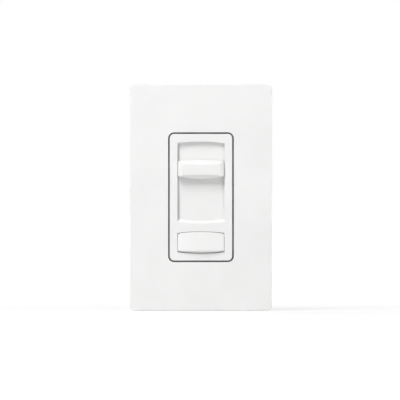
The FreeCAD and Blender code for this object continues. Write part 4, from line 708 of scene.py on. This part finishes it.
# The winding's turns lie close on a core that hides what is between them
COIL_WIRE_R = 0.42
COIL_FRONT = BOARD_BACK + CHOKE_FLANGE + SCREW_GAP
COIL_LONG = CHOKE_TALL - 2 * CHOKE_FLANGE - 2 * SCREW_GAP
COIL_R = WINDING_R - COIL_WIRE_R
COIL_TURNS = math.floor(COIL_LONG / (2 * COIL_WIRE_R)) - 1
COIL_HEIGHTS = [
    (0, COIL_FRONT + COIL_WIRE_R),
    (COIL_TURNS, COIL_FRONT + COIL_LONG - COIL_WIRE_R),
]
coil_work = bmesh.new()
tube_along(
    coil_work,
    helix((CHOKE_X, CHOKE_Z), COIL_R, 0.0, COIL_HEIGHTS, 40),
    COIL_WIRE_R * MM,
)
core = bmesh.ops.create_cone(
    coil_work,
    cap_ends=True,
    segments=40,
    radius1=COIL_R * MM,
    radius2=COIL_R * MM,
    depth=(COIL_LONG - 0.2) * MM,
)["verts"]
core_middle = Vector((CHOKE_X, COIL_FRONT + COIL_LONG / 2, CHOKE_Z)) * MM
bmesh.ops.rotate(coil_work, verts=core, matrix=TO_ROOM)
bmesh.ops.translate(coil_work, verts=core, vec=core_middle)
coil = mesh_object("choke_winding_turns", coil_work, 50.0)
dress(coil, "copper")
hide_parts("choke_winding")
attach(coil, "device")


# Floor and world. Both are white to the camera, in mirrors and through clear things, and their
# share of the light on the object is small.


def seen_rays(tree):
    """1 for camera, glossy and transmission rays, and 0 for the rays that light things."""
    path = tree.nodes.new("ShaderNodeLightPath")
    seen = combined(
        tree, "MAXIMUM", path.outputs["Is Camera Ray"], path.outputs["Is Glossy Ray"]
    )
    return combined(tree, "MAXIMUM", seen, path.outputs["Is Transmission Ray"])


# The floor's white: its strength, its share near the object, and from where to where away from
# the middle it takes over, in metres
FLOOR_WHITE = 1.1
FLOOR_SHARE = 0.66
FLOOR_FADE = (0.12, 0.5)
FLOOR_SIZE = 30.0


def whitened(tree, shade):
    """Adds white to a shade for the rays that are seen, all of it from some way off the object."""
    place = tree.nodes.new("ShaderNodeTexCoord")
    far = tree.nodes.new("ShaderNodeVectorMath")
    far.operation = "LENGTH"
    tree.links.new(place.outputs["Object"], far.inputs[0])
    fade = ranged(tree, far.outputs["Value"], FLOOR_FADE, (FLOOR_SHARE, 1.0), "SMOOTHSTEP")
    amount = combined(tree, "MULTIPLY", seen_rays(tree), fade)
    white = tree.nodes.new("ShaderNodeEmission")
    white.inputs["Strength"].default_value = FLOOR_WHITE
    mix = tree.nodes.new("ShaderNodeMixShader")
    tree.links.new(amount, mix.inputs["Fac"])
    tree.links.new(shade, mix.inputs[1])
    tree.links.new(white.outputs["Emission"], mix.inputs[2])
    return mix.outputs["Shader"]


floor_work = bmesh.new()
bmesh.ops.create_grid(floor_work, x_segments=2, y_segments=2, size=FLOOR_SIZE)
floor = mesh_object("floor", floor_work)
floor.location.z = CAD_BOX[0].z - 0.0002
floor_material, floor_tree, floor_shader = new_material("floor_pale")
floor_noise = noise(floor_tree, object_place(floor_tree), 6.0)
floor_tone = between(floor_tree, floor_noise, (0.77, 0.77, 0.77), (0.80, 0.80, 0.80))
floor_tree.links.new(floor_tone, floor_shader.inputs["Base Color"])
floor_shader.inputs["Roughness"].default_value = 0.8
floor_shader.inputs["Specular IOR Level"].default_value = 0.1
floor_surface = floor_shader.outputs["BSDF"].links[0].to_socket
floor_tree.links.new(whitened(floor_tree, floor_shader.outputs["BSDF"]), floor_surface)
floor.data.materials.append(floor_material)

world = bpy.data.worlds.new("studio")
bpy.context.scene.world = world
world.use_nodes = True
sky = world.node_tree
sky.nodes.clear()
sky_mix = sky.nodes.new("ShaderNodeMixShader")
sky.links.new(seen_rays(sky), sky_mix.inputs["Fac"])
# What lights the object, and what the camera sees
for socket, strength in ((1, 0.05), (2, 1.0)):
    glow = sky.nodes.new("ShaderNodeBackground")
    glow.inputs["Color"].default_value = (1, 1, 1, 1)
    glow.inputs["Strength"].default_value = strength
    sky.links.new(glow.outputs["Background"], sky_mix.inputs[socket])
sky_output = sky.nodes.new("ShaderNodeOutputWorld")
sky.links.new(sky_mix.outputs["Shader"], sky_output.inputs["Surface"])


# Lamps


def softbox(name, azimuth, elevation, distance, wide, tall, power, mirrored):
    """An area lamp that looks at the object. Azimuth is to the right of the camera, in degrees."""
    a = math.radians(azimuth)
    e = math.radians(elevation)
    way = Vector((math.sin(a) * math.cos(e), -math.cos(a) * math.cos(e), math.sin(e)))
    data = bpy.data.lights.new(name, "AREA")
    data.shape = "RECTANGLE"
    data.size = wide
    data.size_y = tall
    data.energy = power
    lamp = bpy.data.objects.new(name, data)
    bpy.context.scene.collection.objects.link(lamp)
    lamp.location = way * distance
    lamp.rotation_mode = "QUATERNION"
    lamp.rotation_quaternion = (-way).to_track_quat("-Z", "Y")
    lamp.visible_camera = False
    lamp.visible_glossy = mirrored


# Azimuth and elevation, distance, width and height in metres, power in watts. The rim lamps only
# lift the plate's edges, so metal doesn't mirror them.
softbox("key_upper_left", -26, 46, 1.4, 0.40, 0.8, 15.1, mirrored=True)
softbox("fill_upper_right", 24, 26, 1.6, 0.7, 0.7, 2.6, mirrored=True)
softbox("back_left", -150, 35, 1.6, 0.8, 0.8, 8.0, mirrored=True)
softbox("rim_left", -98, 4, 1.2, 0.5, 0.5, 1.8, mirrored=False)
softbox("rim_right", 95, 6, 1.2, 0.5, 0.5, 7.4, mirrored=False)
softbox("rim_top", 0, 90, 1.2, 0.5, 0.5, 1.5, mirrored=False)


# Camera, which puts the plate where the photograph has it: its height and middle, in pixels

PHOTO_SIDE = 400
PLATE_TALL = 119.1
PLATE_TALL_SEEN = 226.8
PLATE_MIDDLE_SEEN = (200.98, 197.23)
PIXEL = PLATE_TALL * MM / PLATE_TALL_SEEN
DISTANCE = 4.0
SENSOR = 36.0
camera_data = bpy.data.cameras.new("camera")
camera_data.sensor_width = SENSOR
camera_data.lens = SENSOR * DISTANCE / (PHOTO_SIDE * PIXEL)
camera_data.clip_end = 2 * FLOOR_SIZE
camera = bpy.data.objects.new("camera", camera_data)
bpy.context.scene.collection.objects.link(camera)
bpy.context.scene.camera = camera
camera.location = (
    (PHOTO_SIDE / 2 - PLATE_MIDDLE_SEEN[0]) * PIXEL,
    CAD_BOX[0].y - DISTANCE,
    (PLATE_MIDDLE_SEEN[1] - PHOTO_SIDE / 2) * PIXEL,
)
camera.rotation_euler = (math.radians(90), 0, 0)

bpy.context.scene.view_settings.view_transform = "Standard"
